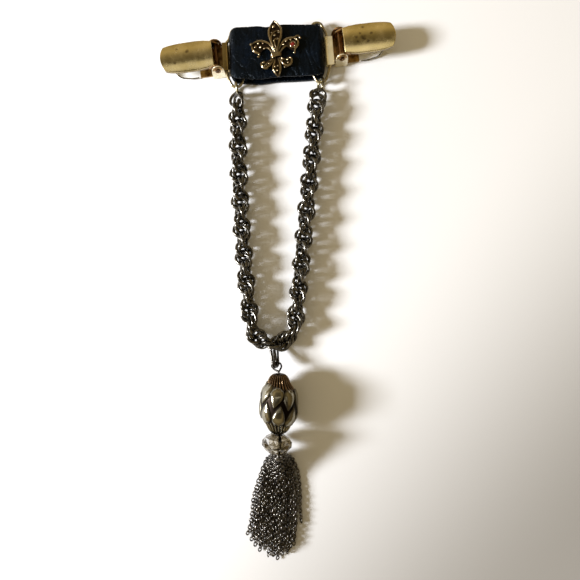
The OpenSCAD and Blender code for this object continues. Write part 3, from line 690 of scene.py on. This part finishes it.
def dark_plate(name, dark, bright, dark_below, bright_above, lacquer):
    """Dark antiqued plating, bright where it rubs."""
    return plated(name, dark, bright, (520.0, 4.0, dark_below, bright_above),
                  (1500.0, 3.0, 0.75, 0.16, 0.36), lacquer=lacquer)


gunmetal = dark_plate("gunmetal", (0.045, 0.041, 0.034), (0.20, 0.187, 0.160), 0.4, 0.68, 0.25)
rope.data.materials.append(gunmetal)
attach(rope, "band")
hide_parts("chain")

# Bail: a doubled loop of dark wire through the chain's lowest rings, closed at its lower end. The
# outer wire stands upright and the inner one leans, as they do after years of wear.
BAIL_FOOT = -33.55


def bail_outline(foot_x, top_x, top_y, half, top_z, roll, foot_z):
    """The loop's points; half is half its width and roll its lean in degrees."""
    side = top_y - BAIL_FOOT - 2 * half
    loop = arc(0, top_y - half, half, range(0, 181, 20))
    loop += [(-half, top_y - half - side * i / 3) for i in (1, 2)]
    loop += arc(0, BAIL_FOOT + half, half, range(180, 361, 20))
    loop += [(half, BAIL_FOOT + half + side * i / 3) for i in (1, 2)]
    points = []
    for x, y in loop:
        f = (y - BAIL_FOOT) / (top_y - BAIL_FOOT)
        points.append((foot_x + (top_x - foot_x) * f + x * math.sin(math.radians(roll)), y,
                       foot_z + (top_z - foot_z) * f + x * math.cos(math.radians(roll))))
    return points


PHOTO = Matrix.Translation(spot(0, 0))
bm = bmesh.new()
for wire, outline in ((0.6, bail_outline(-6.457, -8.26, -22.56, 1.77, 4.1, -23.5, 6.33)),
                      (0.5, bail_outline(-5.874, -6.54, -23.63, 1.31, 1.9, -39, 5.57))):
    wire_into(bm, outline, wire, closed=True, place=PHOTO, steps=3)
bail = finish_mesh("bail_loop", bm)
bail_plate = dark_plate("bail_plate", (0.035, 0.032, 0.028), (0.12, 0.11, 0.095), 0.35, 0.7, 0.1)
bail.data.materials.append(bail_plate)
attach(bail, "band")
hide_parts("bail")

# Bead wire: one wire, bent to a heart-shaped eye at the top, that runs through the bead and the
# crystal and ends in the tassel's head.
AXIS_X, AXIS_Z = -4.8, 8.75
EYE_WIRE = 0.4
bm = bmesh.new()
eye = [(-4.65, -35.1, 8.35), (-5.85, -34.85, 7.45), (-7.4, -34.1, 6.4), (-7.95, -32.9, 5.7),
       (-7.5, -32.1, 5.2), (-6.75, -32, 5.15), (-6, -31.75, 5.3), (-5.2, -31.8, 5.4), (-4.2, -32.2, 5.8),
       (-3.75, -33.3, 6.9), (-4.35, -34.5, 8.2), (AXIS_X, -35.3, AXIS_Z)]
shank = [(AXIS_X, y, AXIS_Z) for y in (-36.6, -48, -60, -73.2)]
wire_into(bm, eye + shank, EYE_WIRE, place=PHOTO, sides=4)
wire = finish_mesh("eye_wire", bm)
wire_plate = dark_plate("wire_plate", (0.010, 0.009, 0.008), (0.045, 0.04, 0.034), 0.35, 0.7, 0.0)
wire.data.materials.append(wire_plate)
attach(wire, "band")
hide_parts("bead_wire")

# Bead: a hollow cast pewter bead. Two rows of teardrop lobes sweep round it, round ends outward and
# points between their neighbours; the ends are fluted. Dark polish stays in the grooves.
BEAD_TOP, BEAD_LENGTH, BEAD_BORE = -35.7, 25.8, 0.42
# the plain body's radius at distances from the top
BODY = ((0, 1.1), (0.5, 2.6), (1.4, 3.7), (2.7, 4.45), (4, 4.8), (4.9, 5.3), (6.4, 6.45), (8.4, 7.2),
        (10.6, 7.6), (12.8, 7.8), (15, 7.85), (17.2, 7.65), (19, 7.15), (20.4, 6.35), (21.4, 5.6),
        (22.4, 5.1), (23.7, 4.5), (24.9, 3.5), (25.8, 2.2))
LOBES = 8
LOBE_RISE, FLUTE_RISE, GROOVE_DEPTH = 0.95, 0.2, 0.15
# the share of a teardrop that its round end takes, and how far the rows slant
ROUND_END, ROW_SLANT = 0.32, 1.6
# start, end, angle at the start, sweep, half width, and whether the round end comes first
LOBE_ROWS = ((5.0, 13.7, 88, 17, 2.9, True), (11.9, 21.1, 82, 12, 2.8, False))


def look_up(x, table, shape=float):
    """The value at x in a table whose first column rises; shape bends the way between two rows."""
    for (xa, a), (xb, b) in zip(table, table[1:]):
        if x <= xb:
            return a + (b - a) * shape((x - xa) / (xb - xa))
    return table[-1][1]


def drop_width(t):
    """A teardrop's half width along its length, both from 0 to 1."""
    if t < ROUND_END:
        return math.sqrt(max(0.0, 1 - (1 - t / ROUND_END) ** 2))
    return 1 - ((t - ROUND_END) / (1 - ROUND_END)) ** 1.7


def slant(q, s):
    """The rows and the dome's edge lie on a slant, lower on the right."""
    return s - ROW_SLANT * math.cos(math.radians(q)) * ease(s / 4) * ease((25 - s) / 4)


def lobe_height(q, s, row):
    """How far a lobe stands out, 0 to 1, at an angle and a distance from the top."""
    start, end, angle, sweep, width, round_first = row
    u = (slant(q, s) - start) / (end - start)
    if not 0 < u < 1:
        return 0.0
    share = drop_width(u if round_first else 1 - u)
    step = 360 / LOBES
    off = q - angle - sweep * u
    d = abs(off - step * round(off / step)) * look_up(s, BODY) * math.pi / 180
    if d >= width * share:
        return 0.0
    return (1 - (d / (width * share)) ** 2.6) ** 0.55 * (0.5 + 0.5 * share)


def flute(q, s):
    """The fine flutes of the dome and the wider ones of the cup, and how strong they are there."""
    dome, cup = 1 - ease((slant(q, s) - 4.8) / 1.6), ease((slant(q, s) - 20.2) / 0.8)
    waves = 1.3 * dome * math.cos(math.radians(26 * q)) + 1.7 * cup * math.cos(math.radians(24 * q))
    return waves * ease(s / 0.8) * ease((25.9 - s) / 0.8), dome, cup


bm = bmesh.new()
raised = bm.verts.layers.float.new("raised")
bronze = bm.verts.layers.float.new("bronze")
bmesh.ops.create_grid(bm, x_segments=380, y_segments=126, size=0.5)
for v in bm.verts:
    q, s = (v.co.x + 0.5) * 360, (0.5 - v.co.y) * BEAD_LENGTH
    lobe = max(lobe_height(q, s, row) for row in LOBE_ROWS)
    rib, dome, cup = flute(q, s)
    r = look_up(s, BODY) - GROOVE_DEPTH + LOBE_RISE * lobe + FLUTE_RISE * rib
    v[raised] = max(lobe, dome * min(1, 0.5 + 0.45 * rib), cup * min(1, 0.6 + 0.4 * rib))
    v[bronze] = dome * (1 - lobe)
    v.co = spot(AXIS_X + r * math.cos(math.radians(q)), BEAD_TOP - s, AXIS_Z + r * math.sin(math.radians(q)))
bmesh.ops.remove_doubles(bm, verts=bm.verts, dist=1e-6)
# both ends turn in to the bore, and the bore closes the wall
open_ends = bmesh.ops.extrude_edge_only(bm, edges=[e for e in bm.edges if e.is_boundary])
axis = spot(AXIS_X, 0, AXIS_Z)
for v in only(bmesh.types.BMVert, open_ends):
    outward = Vector((v.co.x - axis.x, 0, v.co.z - axis.z)).normalized()
    v.co = Vector((axis.x, v.co.y, axis.z)) + outward * BEAD_BORE * MM
bmesh.ops.bridge_loops(bm, edges=[e for e in bm.edges if e.is_boundary])
bmesh.ops.recalc_face_normals(bm, faces=bm.faces)
bead = finish_mesh("lobed_bead", bm)


def attribute_of(mat, name):
    return add_node(mat, "ShaderNodeAttribute", attribute_name=name).outputs["Fac"]


pewter, shader, wear = antiqued("dark_pewter", (0.010, 0.007, 0.005), (0.095, 0.085, 0.060),
                                (0.29, 0.268, 0.205), 380.0)
join(attribute_of(pewter, "raised"), wear.inputs["Height"])
bronzed = mix_of(pewter, attribute_of(pewter, "bronze"), wear.outputs["Color"], (0.66, 0.46, 0.32),
                 "MULTIPLY")
join(bronzed, shader.inputs["Base Color"])
bead.data.materials.append(pewter)
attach(bead, "band")
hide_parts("bead")

# Crystal bead: smoky cut glass on the same wire, with rows of triangular facets round a blunt middle.
# It sits a little askew.
SIDEWAYS = Matrix.Rotation(-math.pi / 2, 4, "X")
CRYSTAL_X, CRYSTAL_TOP, CRYSTAL_MIDDLE = -5.3, -61.9, -66
# distance from the top, radius and turn of each row of twelve corners
CUT_ROWS = ((0, 2.9, 0), (1.5, 5.0, 15), (3.1, 6.45, 0), (4.6, 6.6, 15), (6.4, 5.2, 0), (8.1, 3.0, 15))
bm = bmesh.new()
rows = []
for s, r, turn in CUT_ROWS:
    level = shift(0, 0, -s) @ Matrix.Rotation(math.radians(turn), 4, "Z")
    at_end = s in (CUT_ROWS[0][0], CUT_ROWS[-1][0])
    made = bmesh.ops.create_circle(bm, segments=12, radius=r * MM, cap_ends=at_end, matrix=level)
    rows.append(list({e for v in made["verts"] for e in v.link_edges}))
for upper, lower in zip(rows, rows[1:]):
    bmesh.ops.bridge_loops(bm, edges=upper + lower)
bmesh.ops.triangulate(bm, faces=[f for f in bm.faces if len(f.verts) == 4])
bmesh.ops.recalc_face_normals(bm, faces=bm.faces)
bmesh.ops.transform(bm, verts=bm.verts, matrix=placed(CRYSTAL_X, CRYSTAL_TOP, -5, AXIS_Z) @ SIDEWAYS)
# painted light: the glass's tint is painted clearer towards the lower left, where the light comes from, and
# each facet gets a random tint, from dark to clear, as painted reflections
facet_painted_light = bm.faces.layers.float.new("facet")
chips = random.Random(4)
for face in bm.faces:
    middle = face.calc_center_median() - spot(CRYSTAL_X, CRYSTAL_MIDDLE, AXIS_Z)
    painted_light_tone = 0.40 - 0.08 * (middle.x + middle.y) / MM + 0.9 * (chips.random() - 0.5)
    face[facet_painted_light] = min(1.0, max(0.0, painted_light_tone))
crystal = finish_mesh("cut_crystal", bm, smooth=False)
mat, shader = new_material("smoky_crystal_painted_light", (0.62, 0.55, 0.43), 0.01)
smoke_and_painted_light = [(0.0, (0.03, 0.02, 0.008)), (0.35, (0.17, 0.13, 0.07)), (0.66, (0.48, 0.42, 0.31)),
         (1.0, (1.0, 1.0, 1.0))]
join(ramp_of(mat, attribute_of(mat, "facet"), smoke_and_painted_light), shader.inputs["Base Color"])
shader.inputs["Transmission Weight"].default_value = 1.0
shader.inputs["IOR"].default_value = 1.6
crystal.data.materials.append(mat)
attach(crystal, "band")
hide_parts("crystal_bead")

# Tassel: 29 fine cable chains of dark plated links, hung from a small head on the wire. They fan out
# over the paper in three layers, and their last links lie at different lengths.
HEAD_Y = -70.3
# the head's radius at distances below its top
HEAD_PROFILE = ((0.45, 0.0), (1.8, 0.1), (2.6, 0.5), (2.9, 1.3), (2.7, 2.2), (0.45, 2.3))
# how far from the axis the strands leave the head, sideways
HEAD_RING = 2.9
# the fine links' radius, wire and stretch, and their pitch along a strand
FINE_RADIUS, FINE_WIRE, FINE_STRETCH, LINK_PITCH = 0.70, 0.27, 1.22, 1.5
STRAND_STEPS, LOWEST = 100, 0.95
# the tassel's left and right edges at distances below the photograph's middle
LEFT_EDGE = ((70, -7.4), (72, -9.0), (80, -12.6), (92, -15.9), (104, -18.0), (111, -19.6), (122, -20.6))
RIGHT_EDGE = ((70, -2.2), (72, 0.0), (80, 2.9), (92, 4.9), (104, 5.0), (111, 4.0), (122, 2.6))
# where the strands end, from the left edge to the right one
ENDS = ((0, -109.0), (0.12, -111.6), (0.25, -115.4), (0.38, -117.4), (0.5, -118.8), (0.62, -119.9),
        (0.72, -118.6), (0.84, -116.6), (0.93, -114.0), (1, -104.5))
# strands, height, share of the width left free on each side, and how much shorter
LAYERS = ((12, 1.0, 0.0, 0.0, 0.0), (10, 2.5, 0.04, 0.13, 2.2), (7, 4.2, 0.12, 0.38, 4.6))

bm = bmesh.new()
verts = [bm.verts.new((r * MM, 0, -d * MM)) for r, d in HEAD_PROFILE]
edges = [bm.edges.new(pair) for pair in zip(verts, verts[1:] + verts[:1])]
spin_round(bm, verts + edges, 36)
bmesh.ops.transform(bm, verts=bm.verts, matrix=Matrix.Translation(spot(AXIS_X, HEAD_Y, AXIS_Z)) @ SIDEWAYS)

part = wire_ring(FINE_RADIUS, FINE_WIRE, 10, 6)
bmesh.ops.scale(part, vec=(FINE_STRETCH, 1.0, 1.0), verts=part.verts)
fine_link = bpy.data.meshes.new("fine_link")
part.to_mesh(fine_link)
part.free()

dice = random.Random(7)


def strand_path(f, lie, shorter):
    """The points of one strand, f of the way from the tassel's left edge to its right one."""
    end_y = look_up(f, ENDS) + shorter + dice.uniform(-0.9, 0.9)
    # the strand leaves the head's lower half in the first layer and its upper half in the others
    angle = math.pi * (1 - f) if lie > 2 else math.pi * (1 + f)
    swing, phase = dice.uniform(0.15, 0.5), dice.uniform(0, TAU)
    path = []
    for i in range(STRAND_STEPS + 1):
        y = HEAD_Y - 0.4 + (end_y - HEAD_Y + 0.4) * i / STRAND_STEPS
        down = HEAD_Y - y
        left, right = look_up(-y, LEFT_EDGE), look_up(-y, RIGHT_EDGE)
        drop = ease(down / (6.5 + 2.7 * lie * (1 - abs(2 * f - 1)))) ** 0.62
        x = left + f * (right - left) + swing * math.sin(phase + y * 0.23) * min(1, down / 12)
        x += (AXIS_X + HEAD_RING * math.cos(angle) - x) * (1 - ease(down / 5))
        z = (AXIS_Z + 2.8 * math.sin(angle)) * (1 - drop) + lie * drop
        path.append(Vector((x, y, max(z + 0.1 * math.sin(phase + y), LOWEST))))
    return path


for count, lie, left_free, right_free, shorter in LAYERS:
    for k in range(count):
        f = left_free + (1 - left_free - right_free) * k / (count - 1)
        roll_over = dice.uniform(8, 34)
        path = strand_path(f, lie, shorter)
        travelled, next_link, flip = 0.0, 0.0, k % 2 == 0
        for a, b in zip(path, path[1:]):
            step = (b - a).length
            while next_link <= travelled + step:
                middle = a.lerp(b, (next_link - travelled) / step)
                along = (b - a).normalized().to_track_quat("X", "Z").to_matrix().to_4x4()
                roll = Matrix.Rotation(math.radians(90 * flip - roll_over + dice.uniform(-5, 5)), 4, "X")
                merge_mesh(bm, fine_link.copy(), Matrix.Translation(spot(*middle)) @ along @ roll)
                flip = not flip
                next_link += LINK_PITCH
            travelled += step
tassel = finish_mesh("chain_tassel", bm)
tassel_plate = dark_plate("tassel_plate", (0.014, 0.012, 0.010), (0.21, 0.192, 0.168), 0.36, 0.68, 0.1)
tassel.data.materials.append(tassel_plate)
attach(tassel, "band")
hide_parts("tassel")

# Clips: stamped brass, gold plated and worn. The lower jaw is one sheet, with its tab rolled round the
# D-ring's bar and two ears; a hollow rivet carries the lever. The lever's cover is crowned, with a
# skirt round it, a rolled inner edge, two cheeks and a toothed jaw. Tarnish spots the covers.
PIN_Z = 5.0
COVER_TOP, CROWN, COVER_FALL = 8.95, 18.2, 1.2
# distances from the rivet of the cover's inner edge and of the skirt's start, and the skirt's foot
COVER_START, COVER_LENGTH, SKIRT_START, SKIRT_FOOT = 1.2, 22.5, 3.2, 6.8
FALL = shift(0, 0, PIN_Z) @ Matrix.Rotation(math.radians(COVER_FALL), 4, "Y") @ shift(0, 0, -PIN_Z)
# half the cover's width at distances from the rivet, before its outer end is rounded
COVER_SIDE = ((1.2, 5.3), (3.3, 5.7), (4, 5.95), (8, 6.3), (14, 6.25), (19, 6.05), (23.7, 5.75))
# the thicknesses of the sheets, and the radii of the rolled edge, the rivet's flares and the grip's rim
COVER_SHEET, CHEEK_SHEET, COMB_SHEET, EAR_SHEET = 0.6, 0.7, 0.65, 0.5
ROLL_WIRE, FLARE_WIRE, RIM_WIRE = 0.36, 0.3, 0.32
# how far the ears stand from the clip's middle, and how many degrees they lean outward
EAR_OUT, EAR_LEAN = 6.15, 11
# how far out the grip's painted white highlight starts, and the bend of its outer end
GRIP_HIGHLIGHT_START, GRIP_BEND = 8.4, 9.06


def crown_height(v):
    return COVER_TOP - CROWN + math.sqrt(CROWN * CROWN - v * v)


def cover_into(bm, place):
    """The crowned cover with its skirt: the face is a square grid whose outer corners are drawn in."""
    part = bmesh.new()
    below = part.verts.layers.float.new("skirt")
    bmesh.ops.create_grid(part, x_segments=40, y_segments=24, size=1.0)
    for v in part.verts:
        s, t = v.co.x, v.co.y
        out = max(0.0, s)
        x = s * math.sqrt(1 - 0.5 * t * t / 2 * out)
        y = t * math.sqrt(1 - 0.5 * out ** 3 / 2)
        u = COVER_START + COVER_LENGTH * (0.5 + 0.5 * x)
        side = y * look_up(u, COVER_SIDE, ease)
        v.co = Vector((u, side, crown_height(side)))
    # the skirt hangs from the rim past its start: a small round shoulder, then straight to the foot
    rim = [e for e in part.edges if e.is_boundary and min(v.co.x for v in e.verts) > SKIRT_START]
    for row in ("shoulder", "foot"):
        grown = bmesh.ops.extrude_edge_only(part, edges=rim)
        for v in only(bmesh.types.BMVert, grown):
            v.co.z = v.co.z - 0.35 if row == "shoulder" else SKIRT_FOOT
            v[below] = 1.0
        rim = [e for e in only(bmesh.types.BMEdge, grown)
               if e.is_boundary and abs(e.verts[0].co.z - e.verts[1].co.z) < 0.3
               and min(v.co.x for v in e.verts) > SKIRT_START]
    bmesh.ops.recalc_face_normals(part, faces=part.faces)
    bmesh.ops.transform(part, matrix=FALL @ Matrix.Diagonal((MM, MM, MM, 1)), verts=part.verts)
    # an open sheet has no inside, so its faces can all have come out upside down
    upside_down = [f for f in part.faces if f.normal.z < 0 and f.calc_center_median().z > 8 * MM]
    if len(upside_down) > 20:
        bmesh.ops.reverse_faces(part, faces=part.faces)
    merge_part(bm, part, place)


def sheet_into(bm, outline, hole, depth, place):
    """A flat piece cut from sheet; hole is a second outline with as many points, or None."""
    part = bmesh.new()
    loops = []
    for loop in (outline, hole):
        if loop:
            verts = [part.verts.new((a * MM, b * MM, 0)) for a, b in loop]
            loops.append([part.edges.new(pair) for pair in zip(verts, verts[1:] + verts[:1])])
    if hole:
        bmesh.ops.bridge_loops(part, edges=loops[0] + loops[1])
    else:
        bmesh.ops.triangle_fill(part, edges=loops[0], use_beauty=True)
    grown = bmesh.ops.extrude_face_region(part, geom=list(part.faces))
    bmesh.ops.translate(part, vec=(0, 0, depth * MM), verts=only(bmesh.types.BMVert, grown))
    bmesh.ops.recalc_face_normals(part, faces=part.faces)
    merge_part(bm, part, place)


def cheek_outlines():
    """A cheek, seen along the rivet, and its bore, whose points start at the same angle."""
    cheek = arc(0, PIN_Z, 1.9, range(150, 331, 15))
    cheek += [(2.6, 4.9), (3.6, 5.7), (4.6, 6.4), (5.3, 6.95), (5.8, 7.9), (4.6, 7.95), (3.4, 7.95),
              (2.2, 7.95), (1.2, 7.9), (0.1, 7.4), (-1.0, 6.75)]
    return cheek, arc(0, PIN_Z, 0.95, [150 + 360 * i / len(cheek) for i in range(len(cheek))])


def ear_outlines():
    """The ear with its round top and straight foot, seen along the rivet, and its hole."""
    ear, hole = [], []
    for x, y in arc(0, 0, 1, [7.5 * i for i in range(48)]):
        reach = 2.6 if y > -0.25 else min(4.95 / -y, 2.8 / max(abs(x), 0.001))
        ear.append((x * reach, y * reach))
        hole.append((x * 1.15, y * 1.15))
    return ear, hole


def comb_outline():
    """The toothed jaw: a plate with seven notches in its lower edge."""
    low = 1.15
    points = [(-4.4, 8.0), (-4.4, low)]
    for i in range(-3, 4):
        points += [(i * 1.25 - 0.52, low), (i * 1.25, low + 0.6), (i * 1.25 + 0.52, low)]
    return points + [(4.4, low), (4.4, 8.0)]


def tab_outline(reach):
    """The tab from the side: round the ring's bar and over it to a flat end at its reach."""
    return arc(0, RING_Z, 1.33, range(270, 89, -15)) + [
        (reach * 0.6, 4.43), (reach, 4.4), (reach + 0.05, 3.9), (1.05, 3.85), (1.25, 2.6), (1.2, 1.9)]


def grip_rim():
    """The grip's rim on the jaw's outer edge, from one side round to the other."""
    half = [(9.2, 6.0), (12, 6.0), (14, 5.7), (16.7, 5.2), (18.2, 4.2), (19.3, 2.5), (19.8, 0)]
    loop = half + [(x, -y) for x, y in half[-2::-1]]
    return [(x, y, 0.45 + GRIP_BEND - math.sqrt(GRIP_BEND ** 2 - max(0.0, x - 14) ** 2)) for x, y in loop]


def round_edges(obj, width, angle, segments=2):
    """Rounds the edges of a finished piece where its faces meet at more than the angle."""
    edge = obj.modifiers.new("rounded_edges", "BEVEL")
    edge.width = width * MM
    edge.segments = segments
    edge.limit_method = "ANGLE"
    edge.angle_limit = math.radians(angle)
    return edge


def smooth_copy(node, name, angle, width):
    """A piece made from the node's own mesh, merged, with small rounded edges."""
    part = bmesh.new()
    part.from_mesh(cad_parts[node].data)
    bmesh.ops.remove_doubles(part, verts=part.verts, dist=1e-6)
    bmesh.ops.dissolve_limit(part, angle_limit=math.radians(1), verts=part.verts, edges=part.edges)
    obj = finish_mesh(name, part, angle=angle)
    round_edges(obj, width, 40).harden_normals = True
    return obj


def clip_gold(name, spots, bright, painted_light_tone):
    """Worn gold plate with small dark tarnish spots at the given places. The tone scales the gold's colour
    per clip as painted light, and the skirt is darkened to brown as painted shade.
    """
    mat, shader = new_material(name, (0.80, 0.66, 0.36), 0.2, 1.0)
    coords = object_coords(mat)
    dull_gold, fresh_gold = (tuple(painted_light_tone * c for c in colour) for colour in ((0.60, 0.49, 0.225),
                                                                            (0.82, 0.69, 0.385)))
    plate = plating_in(mat, dull_gold, fresh_gold, (150.0, 6.0, *bright), (300.0, 4.0, 0.8, 0.16, 0.30))
    flecks = ramp_of(mat, noise_of(mat, coords, 1300.0, 3.0), [(0.68, (1, 1, 1)), (0.78, (0.25, 0.17, 0.08))])
    colour = mix_of(mat, 1.0, plate.outputs["Color"], flecks, "MULTIPLY")
    for x, y, size in spots:
        away = add_node(mat, "ShaderNodeVectorMath", operation="DISTANCE")
        join(coords, away.inputs[0])
        join(spot(x, y, 8.5), away.inputs[1])
        ragged = noise_of(mat, coords, 1400.0, 3.0)
        reach = math_of(mat, "MULTIPLY_ADD", ragged, size * MM * 1.3, away.outputs["Value"])
        tarnish = map_value(mat, reach, size * MM * 0.7, size * MM * 1.9, 0.85, 0.0)
        colour = mix_of(mat, tarnish, colour, (0.16, 0.105, 0.04))
    # painted shade: the skirt, marked by its attribute, is mixed towards dark brown for the shade under the
    # cover's edge
    below = map_value(mat, attribute_of(mat, "skirt"), 0.35, 0.9, 0.0, 0.92)
    join(mix_of(mat, below, colour, (0.09, 0.052, 0.02)), shader.inputs["Base Color"])
    join(plate.outputs["Roughness"], shader.inputs["Roughness"])
    join(bump_of(mat, noise_of(mat, coords, 260.0, 2.0), 0.00004, 0.07), shader.inputs["Normal"])
    return mat


def jaw_painted_light(name, pin, turn):
    """Browner gold near the rivet, as painted shade, and a white grip further out, as a painted highlight."""
    mat, shader = new_material(name, (0.4, 0.27, 0.12), 0.3)
    outward = Vector((math.cos(math.radians(turn)), math.sin(math.radians(turn)), 0))
    start = spot(*pin).dot(outward) + GRIP_HIGHLIGHT_START * MM
    along = distance_along(mat, object_coords(mat), outward)
    border = (start - 0.2 * MM, start + 0.2 * MM)
    gold = plating_in(mat, (0.16, 0.085, 0.03), (0.62, 0.42, 0.18), (420.0, 4.0, 0.35, 0.62))
    grip_painted_highlight = mix_of(mat, map_value(mat, along, *border), gold.outputs["Color"], (0.86, 0.86, 0.84))
    join(grip_painted_highlight, shader.inputs["Base Color"])
    join(map_value(mat, along, *border, 1.0, 0.0), shader.inputs["Metallic"])
    return mat


# painted shade: the rivet, its flared heads and the far ear are painted dark brown for the shade round the
# rivet
rivet_painted_shade_brown = plated("rivet_painted_shade_brown", (0.06, 0.03, 0.012), (0.20, 0.105, 0.045))
rim_steel = plated("rim_steel", (0.14, 0.13, 0.11), (0.30, 0.28, 0.25))
# painted shade: the lever's cheeks and toothed jaw under the cover get a darker brown gold than the cover
works_painted_shade_gold = plated("works_painted_shade_gold", (0.12, 0.065, 0.03), (0.42, 0.27, 0.13))
ear_painted_lit_gold = plated("ear_painted_lit_gold", (0.70, 0.60, 0.40), (0.88, 0.82, 0.64), (180.0, 3.0, 0.3, 0.6),
                  (220.0, 2.0, 0.8, 0.24, 0.34), metallic=0.75)

# near is the side of the clip that the photograph shows first, bright is where the gold's patches
# turn bright, and each spot is a place with its size. The tone and the tabs' colours are painted light:
# the left clip's gold and tab are painted darker, as shade, and the right ones paler, as lit.
CLIPS = (
    dict(side="left", pin=(-32.4, 102.4), turn=187.5, near=1, tab_reach=1.5, tab_half=6.0,
         bright=(0.35, 0.62), painted_light_tone=0.92,
         tab_dark=(0.34, 0.24, 0.10), tab_bright=(0.52, 0.39, 0.17), tab_metallic=0.9,
         spots=((-44.3, 102.6, 1.1), (-49.6, 97.6, 0.6), (-48.8, 103.6, 0.7), (-52.6, 96.5, 0.4),
                (-39.6, 101.8, 0.5))),
    dict(side="right", pin=(22.0, 107.7), turn=7.5, near=-1, tab_reach=2.3, tab_half=6.2,
         bright=(0.38, 0.66), painted_light_tone=1.14,
         tab_dark=(0.82, 0.68, 0.38), tab_bright=(0.92, 0.80, 0.50), tab_metallic=0.65,
         spots=((31.5, 108.6, 1.5), (28.4, 108.6, 0.9), (30.1, 110.3, 0.7), (35.0, 110.6, 0.8),
                (29.2, 106.9, 0.7), (33.6, 107.2, 0.8), (31.2, 113.4, 0.9))))
for clip in CLIPS:
    side, near = clip["side"], clip["near"]
    rivet_place = placed(*clip["pin"], clip["turn"])
    gold = clip_gold("clip_gold_" + side, clip["spots"], clip["bright"], clip["painted_light_tone"])
    # painted light: the tab is one metal on both clips, painted dark olive on the left as shade and pale gold
    # on the right as lit
    tab_painted_light = plated("tab_painted_light_" + side, clip["tab_dark"], clip["tab_bright"], metallic=clip["tab_metallic"])

    bm = bmesh.new()
    cover_into(bm, rivet_place)
    cover = finish_mesh("cover_" + side, bm)
    sheet = cover.modifiers.new("sheet", "SOLIDIFY")
    sheet.thickness = COVER_SHEET * MM
    sheet.offset = -1
    round_edges(cover, 0.28, 35, 3)
    bm = bmesh.new()
    roll = [(1.35, y, crown_height(y) - ROLL_WIRE) for y in (-5.1, -3.4, -1.7, 0, 1.7, 3.4, 5.1)]
    wire_into(bm, roll, ROLL_WIRE, place=rivet_place @ FALL, sides=5)
    rolled_edge = finish_mesh("rolled_edge_" + side, bm)
    bm = bmesh.new()
    for y in (5.4, -4.7):
        sheet_into(bm, *cheek_outlines(), CHEEK_SHEET, rivet_place @ shift(0, y, 0) @ UPRIGHT)
    across_clip = Matrix(((0, 0, 1, 0), (1, 0, 0, 0), (0, 1, 0, 0), (0, 0, 0, 1)))
    sheet_into(bm, comb_outline(), None, COMB_SHEET, rivet_place @ shift(1.7, 0, 0) @ across_clip)
    works = finish_mesh("lever_works_" + side, bm, angle=40)

    # the ears lean outward; the near one is painted pale, as lit, and the far one brown, as painted shade
    clip_pieces = []
    heads = bmesh.new()
    for name, way, finish_and_painted_light in (("ear_front_", near, ear_painted_lit_gold), ("ear_back_", -near, rivet_painted_shade_brown)):
        lean = (rivet_place @ shift(0, EAR_OUT * way, PIN_Z)
                @ Matrix.Rotation(math.radians(90 + EAR_LEAN * way), 4, "X"))
        bm = bmesh.new()
        sheet_into(bm, *ear_outlines(), EAR_SHEET, lean @ shift(0, 0, -EAR_SHEET / 2))
        ear = finish_mesh(name + side, bm, angle=40)
        round_edges(ear, 0.1, 50)
        clip_pieces.append((ear, finish_and_painted_light, "clip_base_"))
        flare = [(x, y, 0) for x, y in arc(0, 0, 0.88, range(0, 360, 45))]
        wire_into(heads, flare, FLARE_WIRE, closed=True, place=lean @ shift(0, 0, -0.3 * way), sides=4)
    clip_pieces.append((finish_mesh("rivet_heads_" + side, heads), rivet_painted_shade_brown, "clip_pin_"))
    bm = bmesh.new()
    half = clip["tab_half"]
    sheet_into(bm, tab_outline(clip["tab_reach"]), None, 2 * half, BARS[side] @ shift(0, half, 0) @ UPRIGHT)
    tab = finish_mesh("tab_" + side, bm, angle=40)
    round_edges(tab, 0.1, 50)
    bm = bmesh.new()
    wire_into(bm, grip_rim(), RIM_WIRE, place=rivet_place, sides=3, steps=4)
    rim = finish_mesh("jaw_rim_" + side, bm)
    jaw = smooth_copy("clip_base_" + side, "lower_jaw_" + side, 30, 0.12)
    rivet = smooth_copy("clip_pin_" + side, "rivet_" + side, 35, 0.08)
    jaw_shade_and_highlight = jaw_painted_light("jaw_painted_light_" + side, clip["pin"], clip["turn"])
    clip_pieces += [(tab, tab_painted_light, "clip_base_"), (rim, rim_steel, "clip_base_"),
                    (jaw, jaw_shade_and_highlight, "clip_base_"), (rivet, rivet_painted_shade_brown, "clip_pin_")]

    for piece, finish_and_painted_light in ((cover, gold), (rolled_edge, gold), (works, works_painted_shade_gold)):
        piece.data.materials.append(finish_and_painted_light)
        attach(piece, "lever_" + side)
        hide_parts("clip_lever_" + side)
    for piece, finish_and_painted_light, node in clip_pieces:
        piece.data.materials.append(finish_and_painted_light)
        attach(piece, "clip_" + side)
        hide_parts(node + side)
